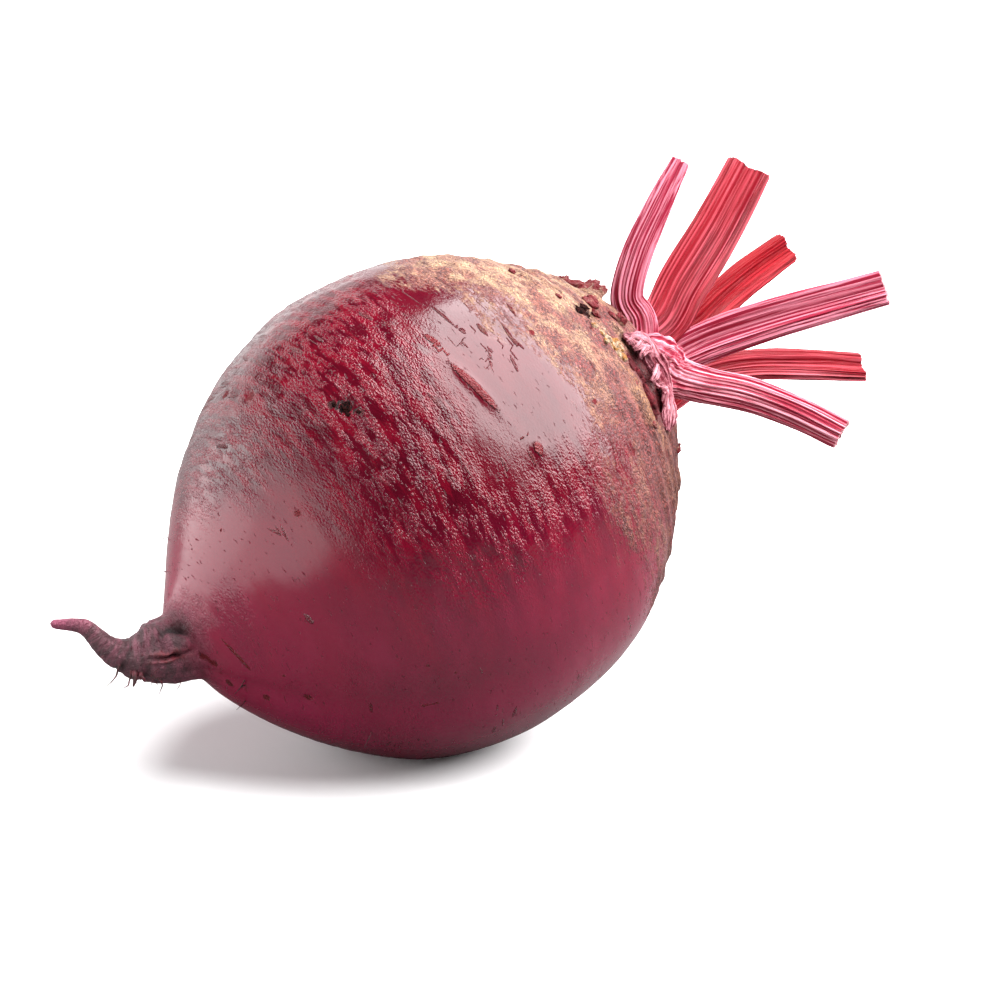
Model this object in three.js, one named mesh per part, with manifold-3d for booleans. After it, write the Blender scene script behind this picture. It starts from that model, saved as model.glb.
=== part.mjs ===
// A whole beetroot as picked: the swollen root with its crown and curled tail, and its cut leaf stalks.
// Millimetres, +Z up. The origin is the centre of the small flat spot that the root rests on.
// The root lies on its side. Its axis runs from the tail, at -X, to the crown, at +X, and rises that way.
import * as THREE from "three";
import { mergeVertices } from "three/addons/utils/BufferGeometryUtils.js";
import Module from "manifold-3d";

const wasm = await Module();
wasm.setup();

// How the root lies. In its own frame x runs along the axis to the crown, from the middle of the body.
const AXIS_RISE = THREE.MathUtils.degToRad(20.5);
const MIDDLE_X = 0.7; // the middle's place from the rest spot
const MIDDLE_Y = 1.8;
const MIDDLE_Z = 38.6; // the middle's height, which leaves a rest spot about 20 mm across

// The rings of the root's skin, from the tip of the tail to the top of the crown.
// Each is [x, y, z of its centre, its radius, and the pitch and yaw of the way it faces, in degrees].
const RINGS = [
  [-61.9, 9.0, 12.2, 0, -20, -35],
  [-61.5, 8.7, 12.0, 0.7, -22, -36],
  [-60.6, 8.0, 11.6, 0.9, -27, -38],
  [-59.1, 7.0, 11.0, 1.1, -24, -38],
  [-57.6, 6.0, 10.0, 1.4, -48, -34],
  [-56.8, 4.9, 8.0, 1.7, -66, -30],
  [-56.2, 4.0, 6.1, 2.1, -58, -30],
  [-55.1, 3.0, 4.4, 2.7, -46, -26],
  [-53.4, 2.0, 3.1, 3.6, -28, -20],
  [-51.2, 1.2, 2.3, 4.6, -12, -14],
  [-49.0, 0.7, 1.7, 5.4, -2, -8],
  [-46.8, 0.4, 1.1, 5.9, 3, -4],
  [-44.6, 0.1, 0.4, 7.0, 2, 0],
  [-41.8, 0, -0.5, 11.2, 0, 0],
  [-36.0, 0, -1.2, 19.3, 0, 0],
  [-28.0, 0, -1.2, 27.9, 0, 0],
  [-17.0, 0, -0.8, 35.6, 0, 0],
  [-3.5, 0, -0.2, 39.8, 0, 0],
  [10.0, 0, 0.2, 39.7, 0, 0],
  [23.0, 0, 0.6, 35.9, 0, 0],
  [33.5, 0.3, 1.1, 28.6, 0, 0],
  [40.5, 0.7, 1.7, 20.9, 0, 0],
  [44.2, 0.9, 2.1, 16.6, 0, 0],
  [46.8, 1.0, 2.2, 12.8, 0, 0],
  [48.2, 1.0, 2.2, 8.6, 0, 0],
  [48.7, 1.0, 2.2, 4.2, 0, 0],
  [48.8, 1.0, 2.2, 0, 0, 0],
];
const CROWN_START = 20; // the ring where the body turns in to the crown
const SIDES = 56; // points round a ring
const STEPS_ON_BODY = 2; // rows of points from one ring to the next
const STEPS_ON_CROWN = 4;

// The skin's relief. Angles round the axis are in radians, from the top towards +y.
const BODY_RADIUS = 40;
const OVAL = 0.6; // how far the body is out of round, as an oval
const OVAL_ANGLE = 0.9;
const LOBES = 0.35; // and as three lobes
const LOBES_ANGLE = -0.45;
const FURROWS = [-1.95, 1.25]; // the shallow furrows that run up from the tail
const FURROW_DEPTH = 1.1;
const FURROW_HALF_WIDTH = 0.16; // radians
const FURROW_FADES = [-50, -40, -30, 12]; // x where it starts, is deepest, still is, and ends
const RIDGE_HEIGHT = 0.32; // the rings of rough skin on the shoulder below the crown
const RIDGE_PITCH = 2.9;
const RIDGE_WAVER = 1.4; // radians
const RIDGE_FADES = [26, 36, 43, 46];
const LEAF_TURN = THREE.MathUtils.degToRad(137.508); // from one leaf to the next round a crown
const SCARS = 17; // old leaf scars, low crescents on a leaf spiral down the shoulder
const SCAR_FIRST_ANGLE = 0.4;
const SCAR_RINGS = [22.4, 20.5]; // places on the list of rings
const SCAR_HEIGHT = 1.0;
const SCAR_HALF_LENGTH = 3.4;
const SCAR_HALF_WIDTH = 1.2;
const SCAR_BEND = 0.05; // how far a crescent drops at its ends, for each square millimetre of its length
const RING_SPACING = 4.2; // millimetres between rings on the shoulder
const SMOOTH_RADIUS = 3; // a ring smaller than this has less relief

// The stumps of old leaves, short crescents on a leaf spiral from the rim of the crown outwards.
const STUMPS = 18; // at most, since a stump that would meet a stalk is left out
const STUMP_FIRST_ANGLE = 0.55;
const STUMP_RINGS = [22.7, 21.2];
const STUMP_CLEAR = 7.5; // from a stump's foot to a stalk's
const STUMP_WIDTH = 7.0;
const STUMP_THICK = 2.4;
const STUMP_HEIGHT = 3.6;
const STUMP_SHRINK = 0.62; // from the innermost to the outermost
const STUMP_BOW = 0.9; // how far its crescent is bent round the crown
const STUMP_LEAN = 0.35; // towards the middle of the crown
const STUMP_SUNK = 1.6;
const STUMP_SIDES = 10;

// The leaf stalks. Each has points along its middle, [x, y, z, width, thickness], from its root in the
// crown to the cut, and the way that its channelled face looks.
const STALKS = {
  stalk_top_front: {
    line: [
      [46.4, -3.4, 4.8, 7.4, 2.6],
      [49.6, -2.0, 10.4, 6.4, 2.9],
      [49.8, -1.0, 15.4, 5.4, 3.1],
      [54.6, -0.6, 21.5, 4.9, 3.0],
      [61.5, 0.1, 26.8, 4.2, 2.8],
      [68.2, 1.2, 31.2, 3.0, 2.4],
    ],
    channel: [0.32, 0.81, -0.49],
  },
  stalk_top_broad: {
    line: [
      [45.6, 2.8, 5.4, 7.4, 3.0],
      [50.5, 2.9, 5.2, 7.6, 3.3],
      [56.4, 2.8, 5.5, 8.2, 3.8],
      [63.2, 5.2, 8.5, 8.6, 4.0],
      [73.8, 8.9, 12.1, 8.4, 3.9],
      [85.4, 13.2, 16.8, 7.8, 3.6],
    ],
    channel: [-0.22, -0.88, 0.44],
  },
  stalk_back: {
    line: [
      [44.6, 9.4, -1.4, 6.8, 2.8],
      [52.5, 8.8, -1.7, 6.4, 3.0],
      [64.4, 10.2, -2.5, 6.3, 3.2],
      [74.0, 14.0, -3.0, 6.2, 3.1],
      [82.2, 16.8, -3.5, 6.0, 3.0],
      [90.5, 19.2, -4.2, 5.6, 2.9],
    ],
    channel: [-0.5, -0.8, 0.3],
  },
  stalk_long_broad: {
    line: [
      [45.8, 2.2, -1.6, 6.4, 3.2],
      [51.0, 1.2, -1.0, 6.4, 3.6],
      [57.6, -0.8, 0, 6.8, 4.0],
      [64.6, -5.0, 1.0, 7.2, 4.2],
      [75.0, -12.0, 1.7, 6.8, 4.1],
      [86.6, -20.1, 2.1, 6.0, 3.7],
    ],
    channel: [-0.4, -0.5, 0.75],
  },
  stalk_low_back: {
    line: [
      [45.0, 1.2, -8.0, 6.8, 2.8],
      [51.0, 2.0, -7.4, 6.2, 3.1],
      [60.1, 2.6, -7.6, 5.9, 3.3],
      [69.2, 2.2, -10.8, 5.8, 3.2],
      [78.3, 0.6, -15.5, 5.6, 3.2],
      [87.1, -1.1, -20.6, 5.3, 3.0],
    ],
    channel: [-0.2, -0.5, 0.84],
  },
  stalk_low_front: {
    line: [
      [42.0, -9.5, 6.6, 12.6, 2.4],
      [45.6, -11.8, 6.9, 11.4, 2.6],
      [48.0, -13.8, 4.1, 7.0, 3.2],
      [51.4, -16.2, 1.4, 5.8, 3.6],
      [56.2, -19.8, -1.8, 5.7, 3.6],
      [60.8, -25.0, -6.1, 5.4, 3.3],
      [64.8, -31.8, -10.9, 5.0, 2.9],
    ],
    channel: [0.45, 0.72, -0.5],
  },
};
const STALK_RIBS = 13;
const RIB_HEIGHT = 0.22;
const CHANNEL_DEPTH = 0.42; // of the stalk's thickness
const CHANNEL_SPREAD = 0.5; // of its half width
const SHEATH_WIDTH = 6.5; // a stalk wider than this clasps the crown, as a sheath
const SHEATH_BOW = 0.28; // how far the sheath's edges bend round, for each millimetre past that
const STALK_STEPS = 3; // from one point of its middle line to the next
const CUT_SLANT = 0.08; // how far the cut leans, for each millimetre across
const CLEARANCE = 0.35; // left between one piece and the next, which are separate solids

const SKIN = { color: 0x6e1128, roughness: 0.32, metalness: 0 };
const STALK_SKIN = { color: 0xc0304f, roughness: 0.45, metalness: 0 };

// A smooth curve through rows of numbers, at place t on the list.
function along(rows, t) {
  const last = rows.length - 1;
  const i = Math.min(Math.floor(t), last - 1);
  const f = t - i;
  const row = (k) => {
    if (k < 0) return rows[0].map((v, c) => 2 * v - rows[1][c]);
    if (k > last) return rows[last].map((v, c) => 2 * v - rows[last - 1][c]);
    return rows[k];
  };
  const [a, b, c, d] = [row(i - 1), row(i), row(i + 1), row(i + 2)];
  return b.map((v, k) => {
    const slope = c[k] - a[k];
    const bend = 2 * a[k] - 5 * v + 4 * c[k] - d[k];
    const turn = 3 * v - a[k] - 3 * c[k] + d[k];
    return 0.5 * (2 * v + slope * f + bend * f * f + turn * f * f * f);
  });
}

const bell = (v, width) => Math.exp(-((v / width) ** 2));
const turned = (angle) => Math.atan2(Math.sin(angle), Math.cos(angle));

// One between the two middle numbers of fades, and none outside the two outer ones.
function faded(x, [start, full, still, end]) {
  return THREE.MathUtils.smoothstep(x, start, full) * (1 - THREE.MathUtils.smoothstep(x, still, end));
}

// Places on a leaf spiral: count of them, from one place on the list of rings to another.
function leafSpiral(count, [firstRing, lastRing], firstAngle) {
  return Array.from({ length: count }, (_, k) => ({
    ring: THREE.MathUtils.lerp(firstRing, lastRing, k / (count - 1)),
    angle: turned(firstAngle + k * LEAF_TURN),
    share: k / (count - 1),
  }));
}

const scars = leafSpiral(SCARS, SCAR_RINGS, SCAR_FIRST_ANGLE);

// How far the skin stands out of the plain ring at place t and angle phi, where the ring's radius is r.
function relief(t, phi, x, r) {
  const girth = r / BODY_RADIUS;
  const oval = OVAL * Math.cos(2 * (phi - OVAL_ANGLE));
  const lobes = LOBES * Math.cos(3 * (phi - LOBES_ANGLE));
  let out = girth * (oval + lobes);
  for (const at of FURROWS) {
    out -= FURROW_DEPTH * faded(x, FURROW_FADES) * bell(turned(phi - at), FURROW_HALF_WIDTH);
  }
  const waver = RIDGE_WAVER * Math.sin(2 * phi);
  out += RIDGE_HEIGHT * faded(x, RIDGE_FADES) * Math.sin((2 * Math.PI * x) / RIDGE_PITCH + waver);
  for (const scar of scars) {
    const aside = turned(phi - scar.angle) * r;
    const down = (t - scar.ring) * RING_SPACING + SCAR_BEND * aside * aside;
    out += SCAR_HEIGHT * bell(aside, SCAR_HALF_LENGTH) * bell(down, SCAR_HALF_WIDTH);
  }
  return out;
}

// The point of the skin at place t on the list of rings and at angle phi round it.
function skinPoint(t, phi) {
  const [x, y, z, r, pitchDegrees, yawDegrees] = along(RINGS, t);
  const pitch = THREE.MathUtils.degToRad(pitchDegrees);
  const yaw = THREE.MathUtils.degToRad(yawDegrees);
  const facing = new THREE.Euler(0, -pitch, yaw, "ZYX");
  const full = r > 0 ? r + relief(t, phi, x, r) * Math.min(r / SMOOTH_RADIUS, 1) : 0;
  const spoke = new THREE.Vector3(0, full * Math.sin(phi), full * Math.cos(phi));
  return spoke.applyEuler(facing).add(new THREE.Vector3(x, y, z));
}

// A closed surface from rows of points, with a single point at each end.
function closedSurface(first, rows, last) {
  const round = rows[0].length;
  const points = [first, ...rows.flat(), last];
  const index = [];
  const at = (row, k) => 1 + row * round + (k % round);
  for (let k = 0; k < round; k++) {
    index.push(0, at(0, k), at(0, k + 1));
    for (let row = 0; row + 1 < rows.length; row++) {
      index.push(at(row, k), at(row + 1, k), at(row + 1, k + 1));
      index.push(at(row, k), at(row + 1, k + 1), at(row, k + 1));
    }
    index.push(points.length - 1, at(rows.length - 1, k + 1), at(rows.length - 1, k));
  }
  const geometry = new THREE.BufferGeometry().setFromPoints(points);
  geometry.setIndex(index);
  return geometry;
}

// A geometry as a solid.
function solid(geometry) {
  const bare = new THREE.BufferGeometry();
  bare.setAttribute("position", geometry.getAttribute("position"));
  bare.setIndex(geometry.getIndex());
  const merged = mergeVertices(bare, 1e-4);
  const vertProperties = merged.attributes.position.array;
  const triVerts = new Uint32Array(merged.index.array);
  return new wasm.Manifold(new wasm.Mesh({ numProp: 3, vertProperties, triVerts }));
}

// The largest body of a solid, as a geometry.
function geometryOf(made) {
  const [largest] = made.decompose().sort((a, b) => b.volume() - a.volume());
  const { vertProperties, triVerts } = largest.getMesh();
  const geometry = new THREE.BufferGeometry();
  geometry.setAttribute("position", new THREE.BufferAttribute(vertProperties, 3));
  geometry.setIndex(new THREE.BufferAttribute(triVerts, 1));
  geometry.computeVertexNormals();
  return geometry;
}

// The same geometry with each point moved out along its normal.
function grown(geometry, distance) {
  const made = new THREE.BufferGeometry();
  made.setAttribute("position", geometry.getAttribute("position").clone());
  made.setIndex(geometry.getIndex());
  made.computeVertexNormals();
  const position = made.getAttribute("position");
  const normal = made.getAttribute("normal");
  for (let i = 0; i < position.count; i++) {
    const p = new THREE.Vector3().fromBufferAttribute(position, i);
    p.addScaledVector(new THREE.Vector3().fromBufferAttribute(normal, i), distance);
    position.setXYZ(i, p.x, p.y, p.z);
  }
  return made;
}

// The places on the list of rings where the skin has a row of points, without its two ends.
function skinRows() {
  const places = [];
  for (let ring = 0; ring + 1 < RINGS.length; ring++) {
    const steps = ring < CROWN_START ? STEPS_ON_BODY : STEPS_ON_CROWN;
    for (let step = 0; step < steps; step++) places.push(ring + step / steps);
  }
  return places.slice(1);
}

function skin() {
  const angles = Array.from({ length: SIDES }, (_, k) => (2 * Math.PI * k) / SIDES);
  const rows = skinRows().map((t) => angles.map((phi) => skinPoint(t, phi)));
  return closedSurface(skinPoint(0, 0), rows, skinPoint(RINGS.length - 1, 0));
}

const middleOf = (row) => row.reduce((sum, p) => sum.add(p), new THREE.Vector3()).divideScalar(row.length);
const capped = (rows) => closedSurface(middleOf(rows[0]), rows, middleOf(rows[rows.length - 1]));

// One stump: a crescent that tapers as it stands up from the crown at place t and angle phi.
function stump(t, phi, size) {
  const foot = skinPoint(t, phi);
  const round = skinPoint(t, phi + 0.02).sub(skinPoint(t, phi - 0.02)).normalize();
  const up = skinPoint(t + 0.05, phi).sub(skinPoint(t - 0.05, phi)).normalize();
  const out = new THREE.Vector3().crossVectors(up, round).normalize();
  const inward = new THREE.Vector3().crossVectors(round, out);
  const lean = out.clone().addScaledVector(inward, STUMP_LEAN).normalize();
  const height = STUMP_HEIGHT * size;
  const profile = [
    [-STUMP_SUNK, 1.1],
    [0.1 * height, 1.1],
    [0.75 * height, 0.92],
    [height, 0.7],
  ];
  const rows = profile.map(([level, share]) =>
    Array.from({ length: STUMP_SIDES }, (_, k) => {
      const psi = (2 * Math.PI * k) / STUMP_SIDES;
      const across = 0.5 * STUMP_WIDTH * size * share * Math.cos(psi);
      const bow = STUMP_BOW * Math.sin(psi) ** 2;
      const through = 0.5 * STUMP_THICK * size * share * Math.sin(psi) - bow;
      const point = foot.clone().addScaledVector(lean, level);
      return point.addScaledVector(round, across).addScaledVector(inward, through);
    }),
  );
  return capped(rows);
}

// The root: its skin with the stumps grown into it, and the rest spot cut flat.
function root(lying) {
  let made = solid(skin());
  const feet = Object.values(STALKS).map(({ line }) => new THREE.Vector3(...line[1]));
  for (const { ring, angle, share } of leafSpiral(STUMPS, STUMP_RINGS, STUMP_FIRST_ANGLE)) {
    const foot = skinPoint(ring, angle);
    if (feet.every((stalkFoot) => stalkFoot.distanceTo(foot) > STUMP_CLEAR)) {
      made = made.add(solid(stump(ring, angle, 1 - STUMP_SHRINK * share)));
    }
  }
  const below = new THREE.BoxGeometry(6 * BODY_RADIUS, 6 * BODY_RADIUS, BODY_RADIUS);
  below.translate(0, 0, -BODY_RADIUS / 2).applyMatrix4(lying.matrix.clone().invert());
  return geometryOf(made.subtract(solid(below)));
}

// One point of a stalk's skin: a flat oval with ribs all round, a channel down one face, and, where it is
// wide enough to clasp the crown, both its edges bent round.
function stalkSection(psi, width, thick) {
  const rib = RIB_HEIGHT * Math.cos(STALK_RIBS * psi);
  const channel = CHANNEL_DEPTH * thick * bell(Math.cos(psi), CHANNEL_SPREAD) * Math.max(Math.sin(psi), 0);
  const bow = SHEATH_BOW * Math.max(width - SHEATH_WIDTH, 0) * Math.cos(psi) ** 2;
  return [(width / 2 + rib) * Math.cos(psi), (thick / 2 + rib) * Math.sin(psi) - channel + bow];
}

function stalk({ line, channel }) {
  const sides = 2 * STALK_RIBS;
  const last = line.length - 1;
  const count = last * STALK_STEPS;
  const middle = (t) => new THREE.Vector3(...along(line, THREE.MathUtils.clamp(t, 0, last)));
  const rows = Array.from({ length: count + 1 }, (_, row) => {
    const t = row / STALK_STEPS;
    const [width, thick] = along(line, t).slice(3);
    const forward = middle(t + 0.05).sub(middle(t - 0.05)).normalize();
    const face = new THREE.Vector3(...channel);
    face.addScaledVector(forward, -face.dot(forward)).normalize();
    const side = new THREE.Vector3().crossVectors(forward, face);
    const slant = row === count ? CUT_SLANT : 0;
    return Array.from({ length: sides }, (_, k) => {
      const [across, through] = stalkSection((2 * Math.PI * k) / sides, width, thick);
      const point = middle(t).addScaledVector(side, across).addScaledVector(face, through);
      return point.addScaledVector(forward, slant * across);
    });
  });
  return capped(rows);
}

const lying = new THREE.Group();
lying.rotation.y = -AXIS_RISE;
lying.position.set(MIDDLE_X, MIDDLE_Y, MIDDLE_Z);
lying.updateMatrix();

const rootMesh = new THREE.Mesh(root(lying), new THREE.MeshStandardMaterial(SKIN));
rootMesh.name = "root";
lying.add(rootMesh);

// Each stalk gives way to the root, and to the stalks before it on the list.
let taken = solid(grown(rootMesh.geometry, CLEARANCE));
for (const [name, shape] of Object.entries(STALKS)) {
  const free = solid(stalk(shape)).subtract(taken);
  const mesh = new THREE.Mesh(geometryOf(free), new THREE.MeshStandardMaterial(STALK_SKIN));
  mesh.name = name;
  lying.add(mesh);
  taken = taken.add(solid(grown(mesh.geometry, CLEARANCE)));
}

const beetroot = new THREE.Group();
beetroot.add(lying);
export default beetroot;
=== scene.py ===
# %% [markdown]
# # A whole beetroot, lying on its side
#
# A beetroot as picked and topped: a round, moist, wine-red root with a curled tail, a rough corky crown, and
# ribbed leaf stalks cut short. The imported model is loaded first. It gives the sizes, and each of its plain
# solids is then replaced by a finer surface of the same form, worked out by the same formulas.

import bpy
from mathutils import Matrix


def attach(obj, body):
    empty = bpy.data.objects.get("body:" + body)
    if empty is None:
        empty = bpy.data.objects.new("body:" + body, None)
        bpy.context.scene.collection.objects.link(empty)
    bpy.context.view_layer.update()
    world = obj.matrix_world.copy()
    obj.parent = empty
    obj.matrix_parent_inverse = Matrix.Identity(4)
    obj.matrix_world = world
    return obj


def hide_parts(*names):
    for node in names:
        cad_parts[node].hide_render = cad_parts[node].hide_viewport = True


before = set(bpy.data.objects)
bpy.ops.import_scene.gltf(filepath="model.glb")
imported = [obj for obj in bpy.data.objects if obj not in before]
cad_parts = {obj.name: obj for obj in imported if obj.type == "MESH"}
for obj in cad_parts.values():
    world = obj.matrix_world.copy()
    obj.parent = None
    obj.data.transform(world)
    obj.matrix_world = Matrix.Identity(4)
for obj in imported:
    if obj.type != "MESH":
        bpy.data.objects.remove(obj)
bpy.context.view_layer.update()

import bpy
import numpy as np
from mathutils import Vector

# %% [markdown]
# ## Where the root lies
#
# The root is easiest to describe with its axis level: x runs from the tail to the crown, from the middle of
# the body, in millimetres. The real one lies with its crown raised, so every finished shape is turned by the
# axis's rise and moved to the middle's place above the rest spot. Doing this to the points, and not to the
# objects, leaves every object at the origin.

# %% From the root's own frame to the scene
MM = 0.001
AXIS_RISE = np.radians(20.5)
MIDDLE = np.array([0.7, 1.8, 38.6])


def stand(points):
    """The scene's place, in metres, of points in the root's frame, in millimetres.

    X is x times the cosine of the rise less z times its sine, Z is x times the sine plus z times the cosine,
    and then the middle's place is added.
    """
    x, y, z = np.moveaxis(np.asarray(points, float), -1, 0)
    level = x * np.cos(AXIS_RISE) - z * np.sin(AXIS_RISE)
    height = x * np.sin(AXIS_RISE) + z * np.cos(AXIS_RISE)
    return (np.stack([level, y, height], -1) + MIDDLE) * MM


print("middle of the body at", stand([0, 0, 0]))

# %% [markdown]
# ## The camera
#
# The viewer stands to the tail's side of square on and looks slightly down. A long lens keeps the shape free
# of stretching. The camera is aimed a little past the root, because the root fills the left of the picture.

# %% Camera
VIEW_TURN = np.radians(-30)
VIEW_RISE = np.radians(20)
VIEW_DISTANCE = 950.0
PIXELS_PER_MM = 6.02
IMAGE = 1000
SENSOR = 36.0
FAR_CLIP = 20.0  # metres, well past the floor's far edge
BODY_AT = (410, 515)  # the middle of the body in the picture

to_viewer = np.array([
    np.sin(VIEW_TURN) * np.cos(VIEW_RISE),
    -np.cos(VIEW_TURN) * np.cos(VIEW_RISE),
    np.sin(VIEW_RISE),
])
view_right = np.array([np.cos(VIEW_TURN), np.sin(VIEW_TURN), 0.0])
view_up = np.cross(to_viewer, view_right)

aim = MIDDLE + view_right * (IMAGE / 2 - BODY_AT[0]) / PIXELS_PER_MM
aim = aim + view_up * (BODY_AT[1] - IMAGE / 2) / PIXELS_PER_MM

camera = bpy.data.objects.new("camera", bpy.data.cameras.new("camera"))
camera.data.sensor_width = SENSOR
camera.data.lens = SENSOR * VIEW_DISTANCE * PIXELS_PER_MM / IMAGE
camera.location = (aim + to_viewer * VIEW_DISTANCE) * MM
camera.rotation_euler = Vector(to_viewer).to_track_quat("Z", "Y").to_euler()
camera.data.clip_end = FAR_CLIP
bpy.context.collection.objects.link(camera)
bpy.context.scene.camera = camera
print("lens", round(camera.data.lens, 1), "mm, camera at", [round(v, 3) for v in camera.location])

# %% [markdown]
# ## The floor and the light
#
# The look of a moist skin is mostly the shape of the lights in it. There are two pale patches on this root,
# so there are two soft lights: a large round one above the crown, and a low wide one close by on the tail's
# side. Each stands where a mirror on the skin would send the eye. A wider, dimmer light round the low one
# softens its edge, and a long, low one behind the root brings out the crimson along its upper rim. The room is
# dim apart from them, or the dark skin would look dusty, and the floor is lit to a clean pale white.

# %% Floor
FLOOR_HALF = 3.0
FLOOR_PALE = (0.93, 0.93, 0.935)
FLOOR_DIM = (0.17, 0.17, 0.17)  # what the root sees of it, as if it lay on a darker table

floor_mesh = bpy.data.meshes.new("floor")
corners = [(-FLOOR_HALF, -FLOOR_HALF, 0), (FLOOR_HALF, -FLOOR_HALF, 0)]
corners += [(FLOOR_HALF, FLOOR_HALF, 0), (-FLOOR_HALF, FLOOR_HALF, 0)]
floor_mesh.from_pydata(corners, [], [(0, 1, 2, 3)])
floor = bpy.data.objects.new("floor", floor_mesh)
bpy.context.collection.objects.link(floor)

floor_material = bpy.data.materials.new("floor")
floor_material.use_nodes = True
floor_finish = floor_material.node_tree.nodes["Principled BSDF"]
floor_finish.inputs["Roughness"].default_value = 0.9
floor_finish.inputs["Specular IOR Level"].default_value = 0.1
floor_tree = floor_material.node_tree
floor_path = floor_tree.nodes.new("ShaderNodeLightPath")
floor_tone = floor_tree.nodes.new("ShaderNodeMix")
floor_tone.data_type = "RGBA"
floor_tone.inputs[6].default_value = (*FLOOR_DIM, 1)
floor_tone.inputs[7].default_value = (*FLOOR_PALE, 1)
floor_tree.links.new(floor_path.outputs["Is Camera Ray"], floor_tone.inputs[0])
floor_tree.links.new(floor_tone.outputs[2], floor_finish.inputs["Base Color"])
floor_mesh.materials.append(floor_material)
print("floor", 2 * FLOOR_HALF, "metres across")

# %% Soft lights
# Name, shape, width and height, the way to it, distance in metres, power in watts, and how far it is then raised
LIGHTS = (
    ("light_above", "DISK", (1.28, 1.28), (0.574, -0.166, 0.802), 0.711, 42, 0.0),
    ("light_low", "ELLIPSE", (0.66, 0.30), (-0.91, 0.34, 0.12), 0.33, 1.25, 0.0),
    ("light_glow", "ELLIPSE", (1.0, 0.55), (-0.93, 0.30, 0.0), 0.37, 0.85, 0.0),
    ("light_behind", "RECTANGLE", (2.0, 0.36), (-0.12, 0.97, 0.0), 0.45, 3.3, 0.04),
)


def soft_light(name, shape, size, direction, distance, power, lift):
    """A flat light that faces the middle of the body from a distance, and is then raised by the lift."""
    light = bpy.data.lights.new(name, "AREA")
    light.shape = shape
    light.size, light.size_y = size
    light.energy = power
    item = bpy.data.objects.new(name, light)
    away = Vector(direction).normalized()
    item.location = Vector(MIDDLE * MM) + away * distance + Vector((0, 0, lift))
    item.rotation_euler = away.to_track_quat("Z", "Y").to_euler()
    item.visible_camera = False
    bpy.context.collection.objects.link(item)
    print(name, "at", [round(v, 2) for v in item.location])


for row in LIGHTS:
    soft_light(*row)

# %% The room
ROOM = 0.17  # as it lights the root
ROOM_MIRRORED = 0.05  # as it shows in the root's gloss

world = bpy.data.worlds.new("room")
bpy.context.scene.world = world
world.use_nodes = True
room = world.node_tree
room.nodes.clear()
path = room.nodes.new("ShaderNodeLightPath")
shade = room.nodes.new("ShaderNodeOutputWorld").inputs["Surface"]
levels = []
for strength in (ROOM, ROOM_MIRRORED, 1.0):
    level = room.nodes.new("ShaderNodeBackground")
    level.inputs["Color"].default_value = (1, 1, 1, 1)
    level.inputs["Strength"].default_value = strength
    levels.append(level.outputs[0])
mirrored, seen = room.nodes.new("ShaderNodeMixShader"), room.nodes.new("ShaderNodeMixShader")
room.links.new(path.outputs["Is Glossy Ray"], mirrored.inputs[0])
room.links.new(levels[0], mirrored.inputs[1])
room.links.new(levels[1], mirrored.inputs[2])
room.links.new(path.outputs["Is Camera Ray"], seen.inputs[0])
room.links.new(mirrored.outputs[0], seen.inputs[1])
room.links.new(levels[2], seen.inputs[2])
room.links.new(seen.outputs[0], shade)
bpy.context.scene.view_settings.view_transform = "Standard"
print("room lit at", ROOM, "and mirrored at", ROOM_MIRRORED)

# %% [markdown]
# ## Smooth curves, bells and noise
#
# The root's profile is a list of rings, and a smooth curve through them gives a ring at any place. Soft marks
# on a skin are bells, and its unevenness is a noise of smooth random slopes, which has no seam, since it is
# worked out in space and not on the surface.

# %% Curves and bells


def along(rows, t):
    """A smooth curve through rows of numbers at places t: a cubic whose slope at each row is half the step
    from the row before to the row after, with the ends carried on straight."""
    rows = np.asarray(rows, float)
    t = np.clip(np.asarray(t, float), 0, len(rows) - 1)
    i = np.minimum(np.floor(t).astype(int), len(rows) - 2)
    f = (t - i)[..., None]
    held = np.vstack([2 * rows[0] - rows[1], rows, 2 * rows[-1] - rows[-2]])
    a, b, c, d = held[i], held[i + 1], held[i + 2], held[i + 3]
    bend = 2 * a - 5 * b + 4 * c - d
    turn = 3 * b - a - 3 * c + d
    return 0.5 * (2 * b + (c - a) * f + bend * f**2 + turn * f**3)


def bell(v, width):
    """One at v = 0, falling off as e to the minus square of v over the width."""
    return np.exp(-((v / width) ** 2))


def turned(angle):
    """The same angle between minus and plus half a turn."""
    return np.arctan2(np.sin(angle), np.cos(angle))


def rise(v, low, high):
    """Zero below low, one above high, and between them three squares less two cubes of the share."""
    share = np.clip((v - low) / (high - low), 0, 1)
    return share * share * (3 - 2 * share)


def faded(x, start, full, still, end):
    """One between full and still, and none outside start and end."""
    return rise(x, start, full) * (1 - rise(x, still, end))


print("half way up a rise:", rise(np.array(0.5), 0, 1))

# %% Noise
PLACE_PRIMES = np.array([73856093, 19349663, 83492791])  # large primes, so that neighbours get unlike numbers
SEED_PRIME, PART_PRIME, STIR_PRIME = 7919, 104729, 1274126177
ALL_BITS, HALF_BITS = 0xFFFFFFFF, 0xFFFF


def corner_number(cell, seed, part):
    """A number from -1 to 1 for each corner of a lattice, from its whole-numbered place, by mixing bits."""
    x, y, z = np.moveaxis(cell * PLACE_PRIMES, -1, 0)
    n = x ^ y ^ z ^ (seed * SEED_PRIME + part * PART_PRIME)
    n = (n ^ (n >> 13)) & ALL_BITS
    n = (n * STIR_PRIME) & ALL_BITS
    n = n ^ (n >> 16)
    return 2 * (n & HALF_BITS) / HALF_BITS - 1


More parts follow.
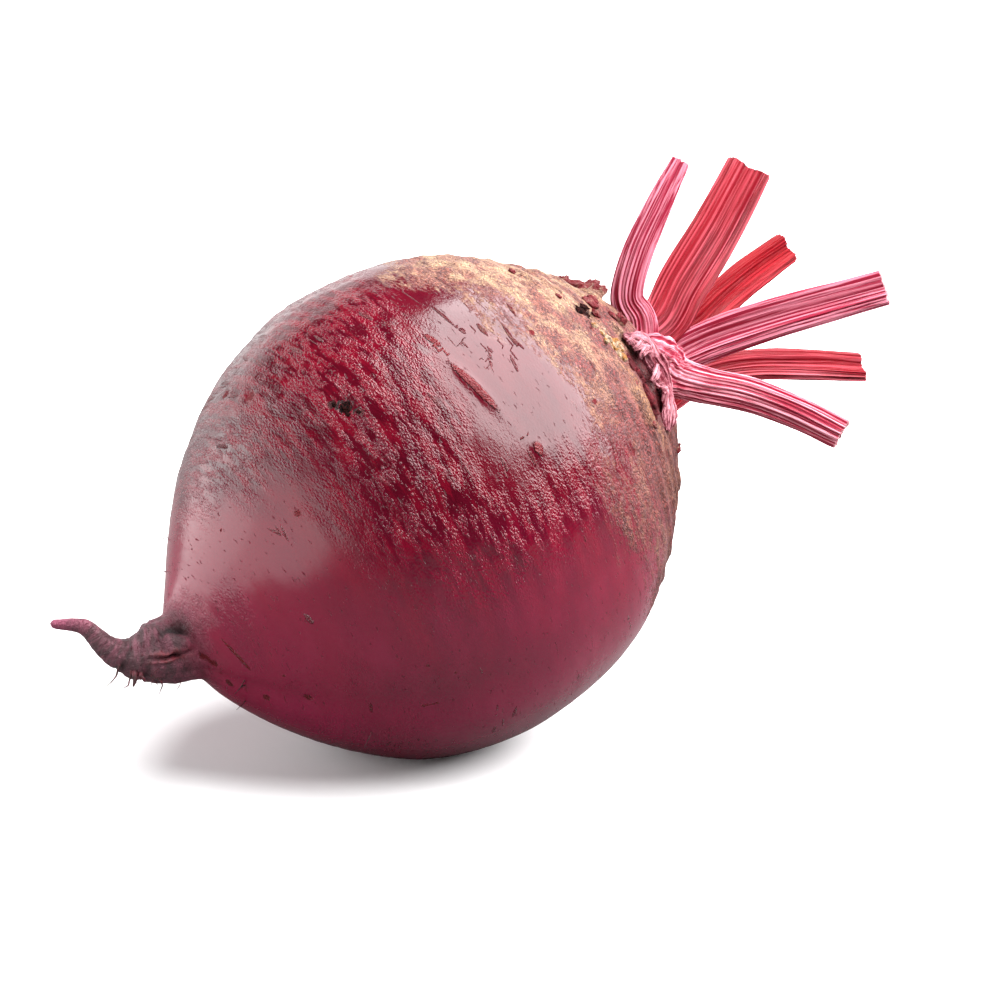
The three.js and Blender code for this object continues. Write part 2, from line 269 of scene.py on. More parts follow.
def noise(points, seed=0):
    """Smooth noise of about -1 to 1 at points measured in cells.

    Each lattice corner has a random slope. At a point, the heights that the eight slopes round it give are
    mixed by the quintic 6f^5 - 15f^4 + 10f^3 of its place in the cell.
    """
    points = np.asarray(points, float)
    cell = np.floor(points).astype(np.int64)
    f = points - cell
    mix = f**3 * (f * (f * 6 - 15) + 10)
    total = np.zeros(points.shape[:-1])
    for corner in np.ndindex(2, 2, 2):
        step = np.array(corner)
        weight = np.prod(np.where(step == 1, mix, 1 - mix), axis=-1)
        slope = np.stack([corner_number(cell + step, seed, part) for part in range(3)], -1)
        total += weight * np.sum(slope * (f - step), axis=-1)
    return 1.6 * total


def layered(points, seed=0, layers=3):
    """Noise added to itself at half the size and half the height, a few times."""
    parts = [noise(points * 2**k, seed + k) / 2**k for k in range(layers)]
    return np.sum(parts, axis=0)


sample = noise(np.random.default_rng(1).uniform(-9, 9, (4000, 3)))
print("noise from", round(float(sample.min()), 2), "to", round(float(sample.max()), 2))

# %% [markdown]
# ## From a grid of points to a closed surface
#
# Each piece is rows of points, like the rings of a barrel. Four neighbours make a face, the last column joins
# the first, and a single point closes each end in a fan. Numbers that belong to the points, such as how corky
# the skin is there, go into the mesh as attributes, and the materials read them.

# %% Closed surfaces


def ring_faces(rows, sides):
    """Corner indices of the four-sided faces between rows, and of the three-sided ones at the two ends.

    Point 0 is the first end, point 1 + row * sides + column lies in the grid, and the last point is the
    other end. The corners run so that the faces look outwards.
    """
    column = np.arange(sides)
    after = (column + 1) % sides
    low = 1 + np.arange(rows - 1)[:, None] * sides
    quads = np.stack([low + column, low + sides + column, low + sides + after, low + after], -1)
    first = np.stack([np.zeros(sides, int), 1 + column, 1 + after], -1)
    top = 1 + (rows - 1) * sides
    last = np.stack([np.full(sides, top + sides), top + after, top + column], -1)
    return quads.reshape(-1, 4), np.vstack([first, last])


def mesh_of(name, places, quads, triangles, marks):
    """A smooth mesh from points in metres, faces and point attributes."""
    mesh = bpy.data.meshes.new(name)
    mesh.vertices.add(len(places))
    mesh.vertices.foreach_set("co", np.asarray(places, np.float32).ravel())
    corners = np.concatenate([quads.ravel(), triangles.ravel()])
    sizes = np.concatenate([np.full(len(quads), 4), np.full(len(triangles), 3)])
    mesh.loops.add(len(corners))
    mesh.loops.foreach_set("vertex_index", corners.astype(np.int32))
    mesh.polygons.add(len(sizes))
    mesh.polygons.foreach_set("loop_start", (np.cumsum(sizes) - sizes).astype(np.int32))
    mesh.polygons.foreach_set("use_smooth", np.ones(len(sizes), bool))
    for mark, values in marks.items():
        flat = np.asarray(values, np.float32)
        kind, field = ("FLOAT_VECTOR", "vector") if flat.ndim == 2 else ("FLOAT", "value")
        mesh.attributes.new(mark, kind, "POINT").data.foreach_set(field, flat.ravel())
    mesh.update(calc_edges=True)
    mesh.validate()
    return mesh


def closed(rows, first, last):
    """The points of one closed surface in order: the first end, the rows, the other end."""
    return np.vstack([np.reshape(first, (1, -1)), rows.reshape(-1, rows.shape[-1]), np.reshape(last, (1, -1))])


def closed_mark(values):
    """The same order for one number a point. An end takes the mean of the row beside it."""
    if values.ndim == 3:
        return closed(values, values[0].mean(0), values[-1].mean(0))
    return np.concatenate([[values[0].mean()], values.ravel(), [values[-1].mean()]])


def piece_of(name, parts, material):
    """One object from several closed surfaces, each of them (rows of points, first end, last end, marks)."""
    places, quads, triangles, marks, start = [], [], [], {}, 0
    for rows, first, last, own in parts:
        four, three = ring_faces(rows.shape[0], rows.shape[1])
        places.append(closed(rows, first, last))
        quads.append(four + start)
        triangles.append(three + start)
        start += len(places[-1])
        for mark, values in own.items():
            marks.setdefault(mark, []).append(closed_mark(values))
    joined = {mark: np.concatenate(values) for mark, values in marks.items()}
    mesh = mesh_of(name, stand(np.vstack(places)), np.vstack(quads), np.vstack(triangles), joined)
    mesh.materials.append(material)
    item = bpy.data.objects.new(name, mesh)
    bpy.context.collection.objects.link(item)
    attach(item, "root")
    count = sum(2 * len(four) for four in quads) + sum(len(three) for three in triangles)
    print(name, "has", len(mesh.vertices), "points and", count, "triangles")
    return item


quads, triangles = ring_faces(5, 8)
print("a barrel of 5 rings of 8 has", len(quads), "four-sided faces and", len(triangles), "at its ends")

# %% [markdown]
# ## The form of the root
#
# The rings run from the tip of the tail to the top of the crown. On the body they stand square to the axis. On
# the tail they turn with it as it curls. The relief on them is what the hand feels: a body slightly out of
# round, two shallow furrows that run up from the tail, rough rings on the shoulder, and a spiral of old leaf
# scars, each a full leaf turn of 137.5 degrees from the last.

# %% Rings
# Each is x, y, z of its centre, its radius, and the pitch and yaw of the way it faces, in degrees.
RINGS = np.array([
    (-61.9, 9.0, 12.2, 0, -20, -35),
    (-61.5, 8.7, 12.0, 0.7, -22, -36),
    (-60.6, 8.0, 11.6, 0.9, -27, -38),
    (-59.1, 7.0, 11.0, 1.1, -24, -38),
    (-57.6, 6.0, 10.0, 1.4, -48, -34),
    (-56.8, 4.9, 8.0, 1.7, -66, -30),
    (-56.2, 4.0, 6.1, 2.1, -58, -30),
    (-55.1, 3.0, 4.4, 2.7, -46, -26),
    (-53.4, 2.0, 3.1, 3.6, -28, -20),
    (-51.2, 1.2, 2.3, 4.6, -12, -14),
    (-49.0, 0.7, 1.7, 5.4, -2, -8),
    (-46.8, 0.4, 1.1, 5.9, 3, -4),
    (-44.6, 0.1, 0.4, 7.0, 2, 0),
    (-41.8, 0, -0.5, 11.2, 0, 0),
    (-36.0, 0, -1.2, 19.3, 0, 0),
    (-28.0, 0, -1.2, 27.9, 0, 0),
    (-17.0, 0, -0.8, 35.6, 0, 0),
    (-3.5, 0, -0.2, 39.8, 0, 0),
    (10.0, 0, 0.2, 39.7, 0, 0),
    (23.0, 0, 0.6, 35.9, 0, 0),
    (33.5, 0.3, 1.1, 28.6, 0, 0),
    (40.5, 0.7, 1.7, 20.9, 0, 0),
    (44.2, 0.9, 2.1, 16.6, 0, 0),
    (46.8, 1.0, 2.2, 12.8, 0, 0),
    (48.2, 1.0, 2.2, 8.6, 0, 0),
    (48.7, 1.0, 2.2, 4.2, 0, 0),
    (48.8, 1.0, 2.2, 0, 0, 0),
])
LAST_RING = len(RINGS) - 1
TAIL_ENDS = 13  # the ring where the tail has become the body
STRAIGHT_FROM = 12  # from this ring on, x only grows
CROWN_START = 20  # from this ring on, the grid is finer
BODY_RADIUS = 40.0
LEAF_TURN = np.radians(137.508)

STEPS = 100  # from each ring to the next
steps = np.linspace(0, LAST_RING, LAST_RING * STEPS + 1)
sampled = along(RINGS, steps)
strides = np.hypot(np.linalg.norm(np.diff(sampled[:, :3], axis=0), axis=1), np.diff(sampled[:, 3]))
reach = np.concatenate([[0], np.cumsum(strides)])  # the way over the skin from the tip, in millimetres


def skin_length(t):
    """How far place t is from the tip of the tail, over the skin."""
    return np.interp(t, steps, reach)


def place_at(x):
    """The place on the list of rings where the body's axis has reached x."""
    straight = slice(STRAIGHT_FROM * STEPS, None)
    return np.interp(x, sampled[straight, 0], steps[straight])


print("from tip to crown over the skin:", round(float(reach[-1])), "mm")

# %% Relief of the solid
OVAL, OVAL_ANGLE = 0.6, 0.9
LOBES, LOBES_ANGLE = 0.35, -0.45
FURROWS = (-1.95, 1.25)
FURROW_DEPTH, FURROW_HALF_WIDTH, FURROW_SPAN = 1.1, 0.16, (-50, -40, -30, 12)
RIDGE_HEIGHT, RIDGE_PITCH, RIDGE_WAVER, RIDGE_SPAN = 0.32, 2.9, 1.4, (26, 36, 43, 46)
LEAF_SCARS, LEAF_SCAR_FIRST = 17, 0.4
LEAF_SCAR_RINGS, RING_STEP = (22.4, 20.5), 4.2  # the step is from one ring to the next there, in millimetres
LEAF_SCAR_HALF_LENGTH, LEAF_SCAR_HALF_WIDTH, LEAF_SCAR_BOW = 3.4, 1.2, 0.05


def leaf_spiral(count, rings, first_angle):
    """Places and angles of leaves round a crown: equal steps from ring to ring, and a leaf turn each time."""
    share = np.linspace(0, 1, count)
    return rings[0] + (rings[1] - rings[0]) * share, turned(first_angle + np.arange(count) * LEAF_TURN), share


def relief(t, phi, x, r):
    """How far the solid's skin stands out of its plain rings, in millimetres: ovals and lobes that grow with
    the girth, less the furrows, plus the shoulder's wavering rings and a low crescent for each leaf scar."""
    out = r / BODY_RADIUS * (OVAL * np.cos(2 * (phi - OVAL_ANGLE)) + LOBES * np.cos(3 * (phi - LOBES_ANGLE)))
    for at in FURROWS:
        out = out - FURROW_DEPTH * faded(x, *FURROW_SPAN) * bell(turned(phi - at), FURROW_HALF_WIDTH)
    waves = np.sin(2 * np.pi * x / RIDGE_PITCH + RIDGE_WAVER * np.sin(2 * phi))
    out = out + RIDGE_HEIGHT * faded(x, *RIDGE_SPAN) * waves
    for ring, angle, _ in zip(*leaf_spiral(LEAF_SCARS, LEAF_SCAR_RINGS, LEAF_SCAR_FIRST)):
        aside = turned(phi - angle) * r
        down = (t - ring) * RING_STEP + LEAF_SCAR_BOW * aside * aside
        out = out + bell(aside, LEAF_SCAR_HALF_LENGTH) * bell(down, LEAF_SCAR_HALF_WIDTH)
    return out


def on_rings(t, phi, out):
    """Points of the skin that stand out of the rings at places t by a distance: a spoke at angle phi from the
    top, as long as the radius plus out, turned the way that its ring faces, from the ring's centre."""
    ring = along(RINGS, t)
    radius = np.maximum(ring[..., 3], 0)
    full = radius + out * np.minimum(radius / 3, 1)
    pitch, yaw = np.radians(ring[..., 4]), np.radians(ring[..., 5])
    side, top = full * np.sin(phi), full * np.cos(phi)
    x = -top * np.sin(pitch) * np.cos(yaw) - side * np.sin(yaw)
    y = -top * np.sin(pitch) * np.sin(yaw) + side * np.cos(yaw)
    return ring[..., :3] + np.stack([x, y, top * np.cos(pitch)], -1)


def skin_point(t, phi):
    """The solid's own skin at places t and angles phi."""
    ring = along(RINGS, t)
    return on_rings(t, phi, relief(t, phi, ring[..., 0], np.maximum(ring[..., 3], 0)))


print("the top of the body stands at", stand(skin_point(np.array(17.4), np.array(0.0))))

# %% [markdown]
# ## Marks that the skin carries
#
# Close up, no two places on this skin are alike. Soft dents come from the soil, and fine wrinkles run round the
# body. There are raised scars where the skin split and healed, small pits where side roots began, a puckered
# tail, and a crown of cork. The mesh is moved for everything broader than a millimetre. Finer marks need edges
# sharper than its grid, so each point also keeps its place in the nearest scar and the nearest pit, and the
# material draws their edges from that.

# %% Scars and pits, each where it lies
# x, angle in degrees, half length round the body, half width, height in millimetres, tilt in degrees
SCARS = np.array([
    (8.4, -41.5, 5.6, 0.75, 0.50, 10),
    (7.9, -25.5, 2.0, 0.55, 0.35, 12),
    (12.5, -20.5, 3.2, 0.28, 0.20, 4),
    (16.1, -29.0, 1.4, 0.45, 0.22, 0),
    (13.2, -27.0, 0.8, 0.40, 0.20, 0),
    (11.8, -62.0, 1.2, 0.80, 0.40, 0),
    (19.5, -33.0, 2.2, 0.35, 0.20, -8),
    (3.0, -8.0, 1.6, 0.40, 0.22, 8),
    (-31.2, -71.0, 1.0, 0.45, 0.20, 20),
    (-28.6, -39.0, 2.1, 0.22, -0.25, 25),
    (-27.9, -41.0, 1.5, 0.18, -0.20, -10),
    (-41.0, -82.0, 3.6, 0.35, -0.45, 24),
    (39.6, -60.0, 2.6, 1.15, -1.10, 15),
    (38.5, -75.0, 2.6, 1.20, -1.30, -10),
])
# x, angle in degrees, half width, depth in millimetres
PITS = np.array([
    (-10.1, -26.5, 1.1, 0.80),
    (-11.4, -23.5, 0.7, 0.60),
    (-9.0, -30.5, 0.6, 0.55),
    (-19.0, 16.0, 0.9, 0.40),
    (-18.1, 2.0, 0.9, 0.40),
    (-24.9, -39.0, 0.6, 0.35),
    (-45.3, -84.0, 0.7, 0.40),
    (-43.8, -94.0, 0.8, 0.35),
    (-42.8, -120.0, 0.6, 0.45),
    (-39.3, -120.0, 0.6, 0.38),
    (-34.6, -112.0, 0.7, 0.38),
    (23.3, -35.0, 0.5, 0.30),
    (25.8, -60.0, 0.6, 0.40),
    (28.5, -79.0, 0.7, 0.40),
    (37.2, -27.0, 1.3, 1.50),
    (36.3, -28.5, 1.1, 1.10),
    (36.6, -33.5, 0.6, 0.70),
    (35.2, -38.0, 0.4, 0.50),
])
rng = np.random.default_rng(11)


def strewn_scars(count):
    """More scars like those, strewn over the body: short, low, and mostly along the girth."""
    x = rng.uniform(-30, 33, count)
    angle = rng.uniform(-180, 180, count)
    size = rng.uniform(0, 1, count) ** 2
    height = rng.choice([-0.14, 0.14, 0.20, 0.26], count)
    rows = np.column_stack([x, angle, 0.5 + 2.0 * size, 0.14 + 0.30 * size, height, rng.normal(0, 9, count)])
    smooth_side = (x < -10) & (angle > -105) & (angle < 0)  # the side towards the tail has hardly any
    return rows[~smooth_side]


def strewn_pits(count):
    """More pits: few on the body and more towards the two furrows and the tail."""
    x = rng.uniform(-44, 20, count)
    furrow = np.degrees(rng.choice(FURROWS, count)) + rng.normal(0, 14, count)
    angle = np.where(rng.uniform(0, 1, count) < 0.5, rng.uniform(-180, 180, count), furrow)
    return np.column_stack([x, angle, rng.uniform(0.2, 0.5, count), rng.uniform(0.10, 0.30, count)])


scars = np.vstack([SCARS, strewn_scars(150)])
pits = np.vstack([PITS, strewn_pits(26)])
print(len(scars), "scars and", len(pits), "pits")

# %% The nearest mark
MESH_MARK = 0.6  # the mesh is moved for marks of a greater half width, in millimetres


def nearest(marks, phi, r, length):
    """Height and place in the nearest mark. For each mark, a point's way along it and across it are divided by
    the mark's half length and half width, so that its rim is where the root of their squares is one. The height
    is the sum over the broad marks of the mark's own height times a bell of that root."""
    best = np.full(phi.shape, np.inf)
    place = np.zeros(phi.shape + (3,))
    height = np.zeros(phi.shape)
    for x, angle, half_length, half_width, lift, tilt in marks:
        aside = turned(phi - np.radians(angle)) * r
        up = length - skin_length(place_at(x))
        lean = np.radians(tilt)
        lengthwise = (aside * np.cos(lean) - up * np.sin(lean)) / half_length
        across = (up * np.cos(lean) + aside * np.sin(lean)) / half_width
        away = np.hypot(lengthwise, across)
        nearer = away < best
        best = np.where(nearer, away, best)
        place[nearer] = np.stack([lengthwise, across, 0 * across + lift], -1)[nearer]
        if half_width > MESH_MARK:
            height += lift * bell(away, 1.0)
    return height, place


print("largest scar is", 2 * scars[:, 2].max(), "mm long")

# %% [markdown]
# ## The fine skin
#
# The solid has a few thousand faces. This skin has the same rings and relief on a grid of about half a
# millimetre, closer on the crown and the tail, where the eye looks for detail. It adds the marks above. Where
# it would pass below the rest spot it is laid flat, as a firm root is where it lies.

# %% Fine skin
COLUMNS = 364
ROWS = (70, 126, 78)  # on the tail, the body and the crown
INSET = 0.10  # keeps the added bumps within the solid's size

row_places = np.concatenate([
    np.linspace(0, TAIL_ENDS, ROWS[0], endpoint=False)[1:],
    np.linspace(TAIL_ENDS, CROWN_START, ROWS[1], endpoint=False),
    np.linspace(CROWN_START, LAST_RING, ROWS[2], endpoint=False),
])
t, phi = np.meshgrid(row_places, np.linspace(-np.pi, np.pi, COLUMNS, endpoint=False), indexing="ij")
ring_x, ring_r = along(RINGS, t)[..., 0], np.maximum(along(RINGS, t)[..., 3], 0)
length = skin_length(t)
plain = on_rings(t, phi, np.zeros(t.shape))
grain = np.stack([length, plain[..., 1], plain[..., 2]], -1)  # the grain of the skin runs round the body

# How far each kind of skin reaches, from 0 to 1. Places are millimetres of x, angles are degrees from the top, and
# a noise moves each edge to and fro.
edge = 6.0 * noise(grain * [0.09, 0.07, 0.07], 3) + 2.5 * noise(grain * [0.5, 0.14, 0.14], 4)
over_top = 13 * bell(turned(phi - 0.12), 0.42) + 3 * bell(turned(phi + 1.1), 0.5)
corky = rise(ring_x + edge + over_top, 17, 34)
tailish = 1 - rise(ring_x + 1.5 * noise(grain * 0.25, 5) - 2.6 * bell(turned(phi + 0.55), 0.7), -49, -42.5)
body = (1 - corky) * (1 - tailish)
facing_up = np.degrees(phi)
taut = rise(ring_x - 0.10 * facing_up + 2.5 * noise(grain / 7, 8), 4, 12) * faded(facing_up, -80, -58, 10, 40)
to_the_tail = 15 * rise(facing_up, -38, -5)  # along the top the pebbles run on towards the tail
band = rise(facing_up, -102, -70) * rise(ring_x + to_the_tail + 4 * noise(grain / 9, 6), -24, -12)
pebbly = band * (1 - 0.9 * taut) + 0.5 * rise(noise(grain / 14, 7), 0.1, 0.6) * (1 - taut)
pebbly = np.clip(pebbly, 0, 1) * (1 - tailish)
print("grid of", t.shape, "points")

# %% Under the torn sheath
# Below the front stalk's torn foot the cork has a tan rim, a flush beside it, and a red edge where it tore.
uneven_x = ring_x - 1.2 * noise(grain * 0.3, 9)
frayed_x = ring_x - 0.6 * noise(grain * 0.8, 10)
rim = bell(uneven_x - 36.8, 1.1) * faded(facing_up, -96, -84, -60, -50)
blush = bell(uneven_x - 33.2, 2.7) * faded(facing_up, -92, -80, -56, -46)
torn_edge = faded(frayed_x, 38.0, 38.6, 43.0, 45.0) * faded(facing_up, -90, -84, -56, -48)
print("share of the skin in the torn edge:", round(float(torn_edge.mean()), 3))

# %% Dents, wrinkles and cork
# Each is a height in millimetres times a noise. What the grain is divided or multiplied by sets the noise's size.
scar_height, scar_place = nearest(scars, phi, ring_r, length)
as_scars = np.column_stack([pits[:, 0], pits[:, 1], pits[:, 2], pits[:, 2], -pits[:, 3], 0 * pits[:, 0]])
pit_height, pit_place = nearest(as_scars, phi, ring_r, length)
dents = 0.30 * noise(grain / 17, 21) + 0.20 * noise(grain / 7, 22) * (0.2 + 0.8 * pebbly)
wrinkles = (0.03 + 0.10 * pebbly) * layered(grain * [0.55, 0.12, 0.12], 23, 2)
lumps = 0.10 * pebbly * layered(grain * [0.62, 0.42, 0.42], 29, 2)
crust = 0.36 * layered(grain * [0.34, 0.22, 0.22], 25, 3) + 0.20 * np.abs(noise(grain * [0.9, 0.5, 0.5], 26))
thin = np.minimum(ring_r / 4, 1)
out = relief(t, phi, ring_x, ring_r) - INSET + dents * body * thin + (wrinkles + lumps) * body
out = out + scar_height * (1 - 0.2 * corky) + pit_height + crust * corky * np.minimum(ring_r / 6, 1) + 0.45 * rim
print("the skin stands out of its rings by up to", round(float(out.max()), 2), "mm")

# %% The tail's folds
# Place on the list of rings, half width in millimetres and depth of each groove round the tail
TAIL_GROOVES = [(2.2, 0.30, 0.10), (3.3, 0.30, 0.12), (4.4, 0.35, 0.12), (5.6, 0.35, 0.16), (6.3, 0.30, 0.25)]
TAIL_GROOVES += [(6.8, 0.35, 0.22), (7.3, 0.32, 0.50), (7.62, 0.30, 0.42), (8.6, 0.5, 0.25), (11.9, 0.7, 0.30)]
# Angle in degrees and place on the list of rings: a slit with swollen lips, a knob with a hollow round it, a
# dimple above the knob, and the shade behind it
SLIT, SLIT_REACH = (-74, 10.05), 2.5
KNOB, DIMPLE, SHADE = (-53, 11.0), (-30, 11.7), (-24, 11.6)

folds = 0.28 * layered(grain * [0.50, 0.28, 0.28], 27, 3)
folds = folds + 0.35 * noise(np.stack([2.6 * np.cos(phi), 2.6 * np.sin(phi), length / 7], -1), 28)
# This mark is painted shade. It darkens the tail's grooves and, further on, the hollow round the knob, the slit and
# the place behind the knob.
crease_shade = np.zeros(t.shape)
for place, half_width, depth in TAIL_GROOVES:
    waver = 0.5 * noise(np.stack([1.5 * np.cos(phi), 1.5 * np.sin(phi), 0 * phi + place], -1), 30)
    groove = depth * bell(length - skin_length(place) + waver, half_width)
    folds, crease_shade = folds - groove, crease_shade + 2 * groove
print("the tail has", len(TAIL_GROOVES), "grooves")

# %% The tail's slit and knob


def apart(mark, squeeze=1.0):
    """Distance of each point of the skin from a mark, with the way round the root squeezed by a share."""
    angle, ring = mark
    return np.hypot(squeeze * turned(phi - np.radians(angle)) * ring_r, length - skin_length(ring))


slit_aside = turned(phi - np.radians(SLIT[0])) * ring_r + 0.45 * noise(grain * 0.8, 31)
slit_up = (length - skin_length(SLIT[1])) / SLIT_REACH
lips = bell(slit_up, 1.0) * bell(np.abs(slit_aside) - 0.62, 0.40)
slit = bell(slit_up, 0.9) * bell(slit_aside, 0.32)
knob = bell(apart(KNOB), 1.6) - 0.45 * bell(apart(KNOB) - 2.5, 0.7) - 0.7 * bell(apart(DIMPLE, 0.6), 1.0)
out = out + tailish * thin * folds + knob + 0.60 * lips - 0.60 * slit
crease_shade = crease_shade + np.maximum(-1.6 * knob, 0) + 0.7 * slit + 0.8 * bell(apart(SHADE, 0.6), 2.6)
skin = on_rings(t, phi, out)
print("the knob stands", round(float(knob.max()), 2), "mm high")

# %% The rest spot and the finished skin


def rested(points):
    """The same points, with any below the level of the surface raised to it along the scene's height."""
    below = np.minimum(stand(points)[..., 2], 0) / MM
    lift = np.stack([np.sin(AXIS_RISE) * below, 0 * below, np.cos(AXIS_RISE) * below], -1)
    return points - lift


skin = rested(skin)
tip, top = on_rings(np.array(0.0), np.array(0.0), 0.0), skin[-1].mean(0)
skin_marks = {
    "grain": grain,
    "cork": corky,
    "tail": tailish,
    "crease_shade": crease_shade * tailish,
    "pebbly": pebbly,
    "taut": taut,
    "rim": rim,
    "blush": blush,
    "torn_edge": torn_edge,
    "slit": np.maximum(0.6 * slit, lips),
    "scar_place": scar_place,
    "pit_place": pit_place,
}
print("lowest point of the skin", round(float(stand(skin)[..., 2].min() / MM), 3), "mm")

# %% [markdown]
# ## Finishes that share their effects
#
# Skin, cork, stalks and dried stubs show the same few effects at different sizes: a noise stretched along the
# grain, dots, pebbles, a net of cracks, and a mark with torn edges. Each is a node group with named inputs, built
# once. A group gives numbers only, and the shader stays in the material.

# %% Node helpers


def feed(tree, socket, value):
    """Links an output to a socket, or sets the socket to a plain value."""
    if hasattr(value, "is_output"):
        tree.links.new(value, socket)
    else:
        socket.default_value = value


def add(tree, kind, *values, **settings):
    """A new node with its settings. Its first sockets take the values in turn, and None skips one."""
    made = tree.nodes.new("ShaderNode" + kind)
    for setting, value in settings.items():
        setattr(made, setting, value)
    for socket, value in zip(made.inputs, values):
        if value is not None:
            feed(tree, socket, value)
    return made


def maths(tree, operation, *values):
    """One sum on numbers. The four that follow are the ones used most."""
    return add(tree, "Math", *values, operation=operation).outputs[0]


def times(tree, first, second):
    return maths(tree, "MULTIPLY", first, second)


def plus(tree, first, second):
    return maths(tree, "ADD", first, second)


def minus(tree, first, second):
    return maths(tree, "SUBTRACT", first, second)


def larger(tree, first, second):
    return maths(tree, "MAXIMUM", first, second)


def between(tree, value, low, high, to_low=0.0, to_high=1.0):
    """The value moved from one range to another with soft ends."""
    made = add(tree, "MapRange", value, low, high, to_low, to_high, interpolation_type="SMOOTHSTEP")
    return made.outputs[0]


def tinted(tree, share, first, second):
    """The first colour turned into the second by a share."""
    made = tree.nodes.new("ShaderNodeMix")
    made.data_type = "RGBA"
    feed(tree, made.inputs[0], share)
    for socket, colour in ((made.inputs[6], first), (made.inputs[7], second)):
        feed(tree, socket, (*colour, 1) if isinstance(colour, tuple) else colour)
    return made.outputs[2]


def new_group(name, inputs, output):
    """An empty node group with named number or vector inputs and one number output."""
    group = bpy.data.node_groups.new(name, "ShaderNodeTree")
    for label, value in inputs.items():
        kind = "NodeSocketVector" if isinstance(value, tuple) else "NodeSocketFloat"
        group.interface.new_socket(label, in_out="INPUT", socket_type=kind).default_value = value
    group.interface.new_socket(output, in_out="OUTPUT", socket_type="NodeSocketFloat")
    return group, group.nodes.new("NodeGroupInput").outputs, group.nodes.new("NodeGroupOutput").inputs


def use(tree, group, **values):
    """Places a group in a material with its own values and gives its output."""
    made = tree.nodes.new("ShaderNodeGroup")
    made.node_tree = group
    for label, value in values.items():
        feed(tree, made.inputs[label], value)
    return made.outputs[0]


print("a node helper for each of:", [helper.__name__ for helper in (feed, add, maths, between, tinted, use)])

# %% What the groups share


def grain_group(name, output, **more):
    """An empty group that takes a grain and stretches it, with more inputs by name: the group, its inputs, its
    output's socket and the stretched grain."""
    group, given, result = new_group(name, {"Grain": (0, 0, 0), "Stretch": (1, 1, 1), **more}, output)
    scaled = add(group, "VectorMath", given["Grain"], given["Stretch"], operation="MULTIPLY").outputs[0]
    return group, given, result[0], scaled


def noise_at(group, place, scale, detail, roughness):
    """A noise node: its first output is a number, and its second three numbers, as a colour."""
    return add(group, "TexNoise", place, None, scale, detail, roughness).outputs


def jittered(group, place, *size):
    """The place pushed about by a noise, so that cells come out uneven."""
    return add(group, "VectorMath", place, noise_at(group, place, *size)[1], operation="ADD").outputs[0]


print("every group but one starts from a stretched grain")

# %% Mottle and dots
mottle, given, result, scaled = grain_group("mottle", "Share", Low=0.4, High=0.6)
cloudy = noise_at(mottle, scaled, 1.0, 4.0, 0.6)[0]
feed(mottle, result, between(mottle, cloudy, given["Low"], given["High"]))

dots, given, result, scaled = grain_group("dots", "Share", Size=0.3, Edge=0.1)
cells = add(dots, "TexVoronoi", jittered(dots, scaled, 1.7, 2.0, 0.5), None, 1.0)
uneven = times(dots, add(dots, "SeparateColor", cells.outputs["Color"]).outputs[0], given["Size"])
far = plus(dots, uneven, given["Edge"])
feed(dots, result, between(dots, cells.outputs["Distance"], uneven, far, 1.0, 0.0))
print("mottle and dots have", len(mottle.nodes), "and", len(dots.nodes), "nodes")

# %% Pebbles
pebbles, given, result, scaled = grain_group("pebbles", "Height", Roundness=0.3)
lumps_texture = add(pebbles, "TexVoronoi", jittered(pebbles, scaled, 0.9, 2.0, 0.5), None, 1.0, feature="SMOOTH_F1")
feed(pebbles, lumps_texture.inputs["Smoothness"], given["Roundness"])
feed(pebbles, result, minus(pebbles, 0.7, lumps_texture.outputs["Distance"]))
print("pebbles have", len(pebbles.nodes), "nodes")

# %% Cracks and fine lines
crackle, given, result, scaled = grain_group("crackle", "Line", Width=0.08)
net = add(crackle, "TexVoronoi", jittered(crackle, scaled, 1.3, 3.0, 0.6), None, 1.0, feature="DISTANCE_TO_EDGE")
feed(crackle, result, between(crackle, net.outputs["Distance"], 0.0, given["Width"], 1.0, 0.0))

# A squiggle runs wherever a noise is near its middle value.
squiggles, given, result, scaled = grain_group("squiggles", "Line", Width=0.05)
level = minus(squiggles, noise_at(squiggles, scaled, 1.0, 2.0, 0.6)[0], 0.5)
feed(squiggles, result, between(squiggles, maths(squiggles, "ABSOLUTE", level), 0.0, given["Width"], 1.0, 0.0))
print("cracks and squiggles have", len(crackle.nodes), "and", len(squiggles.nodes), "nodes")

# %% A mark with torn edges
blot, given, result = new_group("blot", {"Place": (0, 0, 0), "Grain": (0, 0, 0), "Ragged": 0.5}, "Share")
flat_place = add(blot, "VectorMath", given["Place"], (1, 1, 0), operation="MULTIPLY").outputs[0]
away = add(blot, "VectorMath", flat_place, operation="LENGTH").outputs["Value"]
tear = noise_at(blot, given["Grain"], 1.6, 3.0, 0.6)[0]
tear = times(blot, minus(blot, tear, 0.5), given["Ragged"])
feed(blot, result[0], between(blot, plus(blot, away, tear), 0.75, 1.1, 1.0, 0.0))
print("node groups:", [group.name for group in bpy.data.node_groups])

# %% Starting a material


def new_material(name):
    """A material, its tree and its shader's sockets."""
    material = bpy.data.materials.new(name)
    material.use_nodes = True
    tree = material.node_tree
    return material, tree, tree.nodes["Principled BSDF"].inputs


def mark_of(tree, name, output="Fac"):
    """The value of a point attribute."""
    made = tree.nodes.new("ShaderNodeAttribute")
    made.attribute_name = name
    return made.outputs[output]


def bumped(tree, height, normal_input):
    """Sends a height in millimetres to a shader's normal."""
    bump = tree.nodes.new("ShaderNodeBump")
    bump.inputs["Strength"].default_value = 1.0
    bump.inputs["Distance"].default_value = MM
    feed(tree, bump.inputs["Height"], height)
    feed(tree, normal_input, bump.outputs[0])


print("a bump of one unit stands", MM, "metres high")
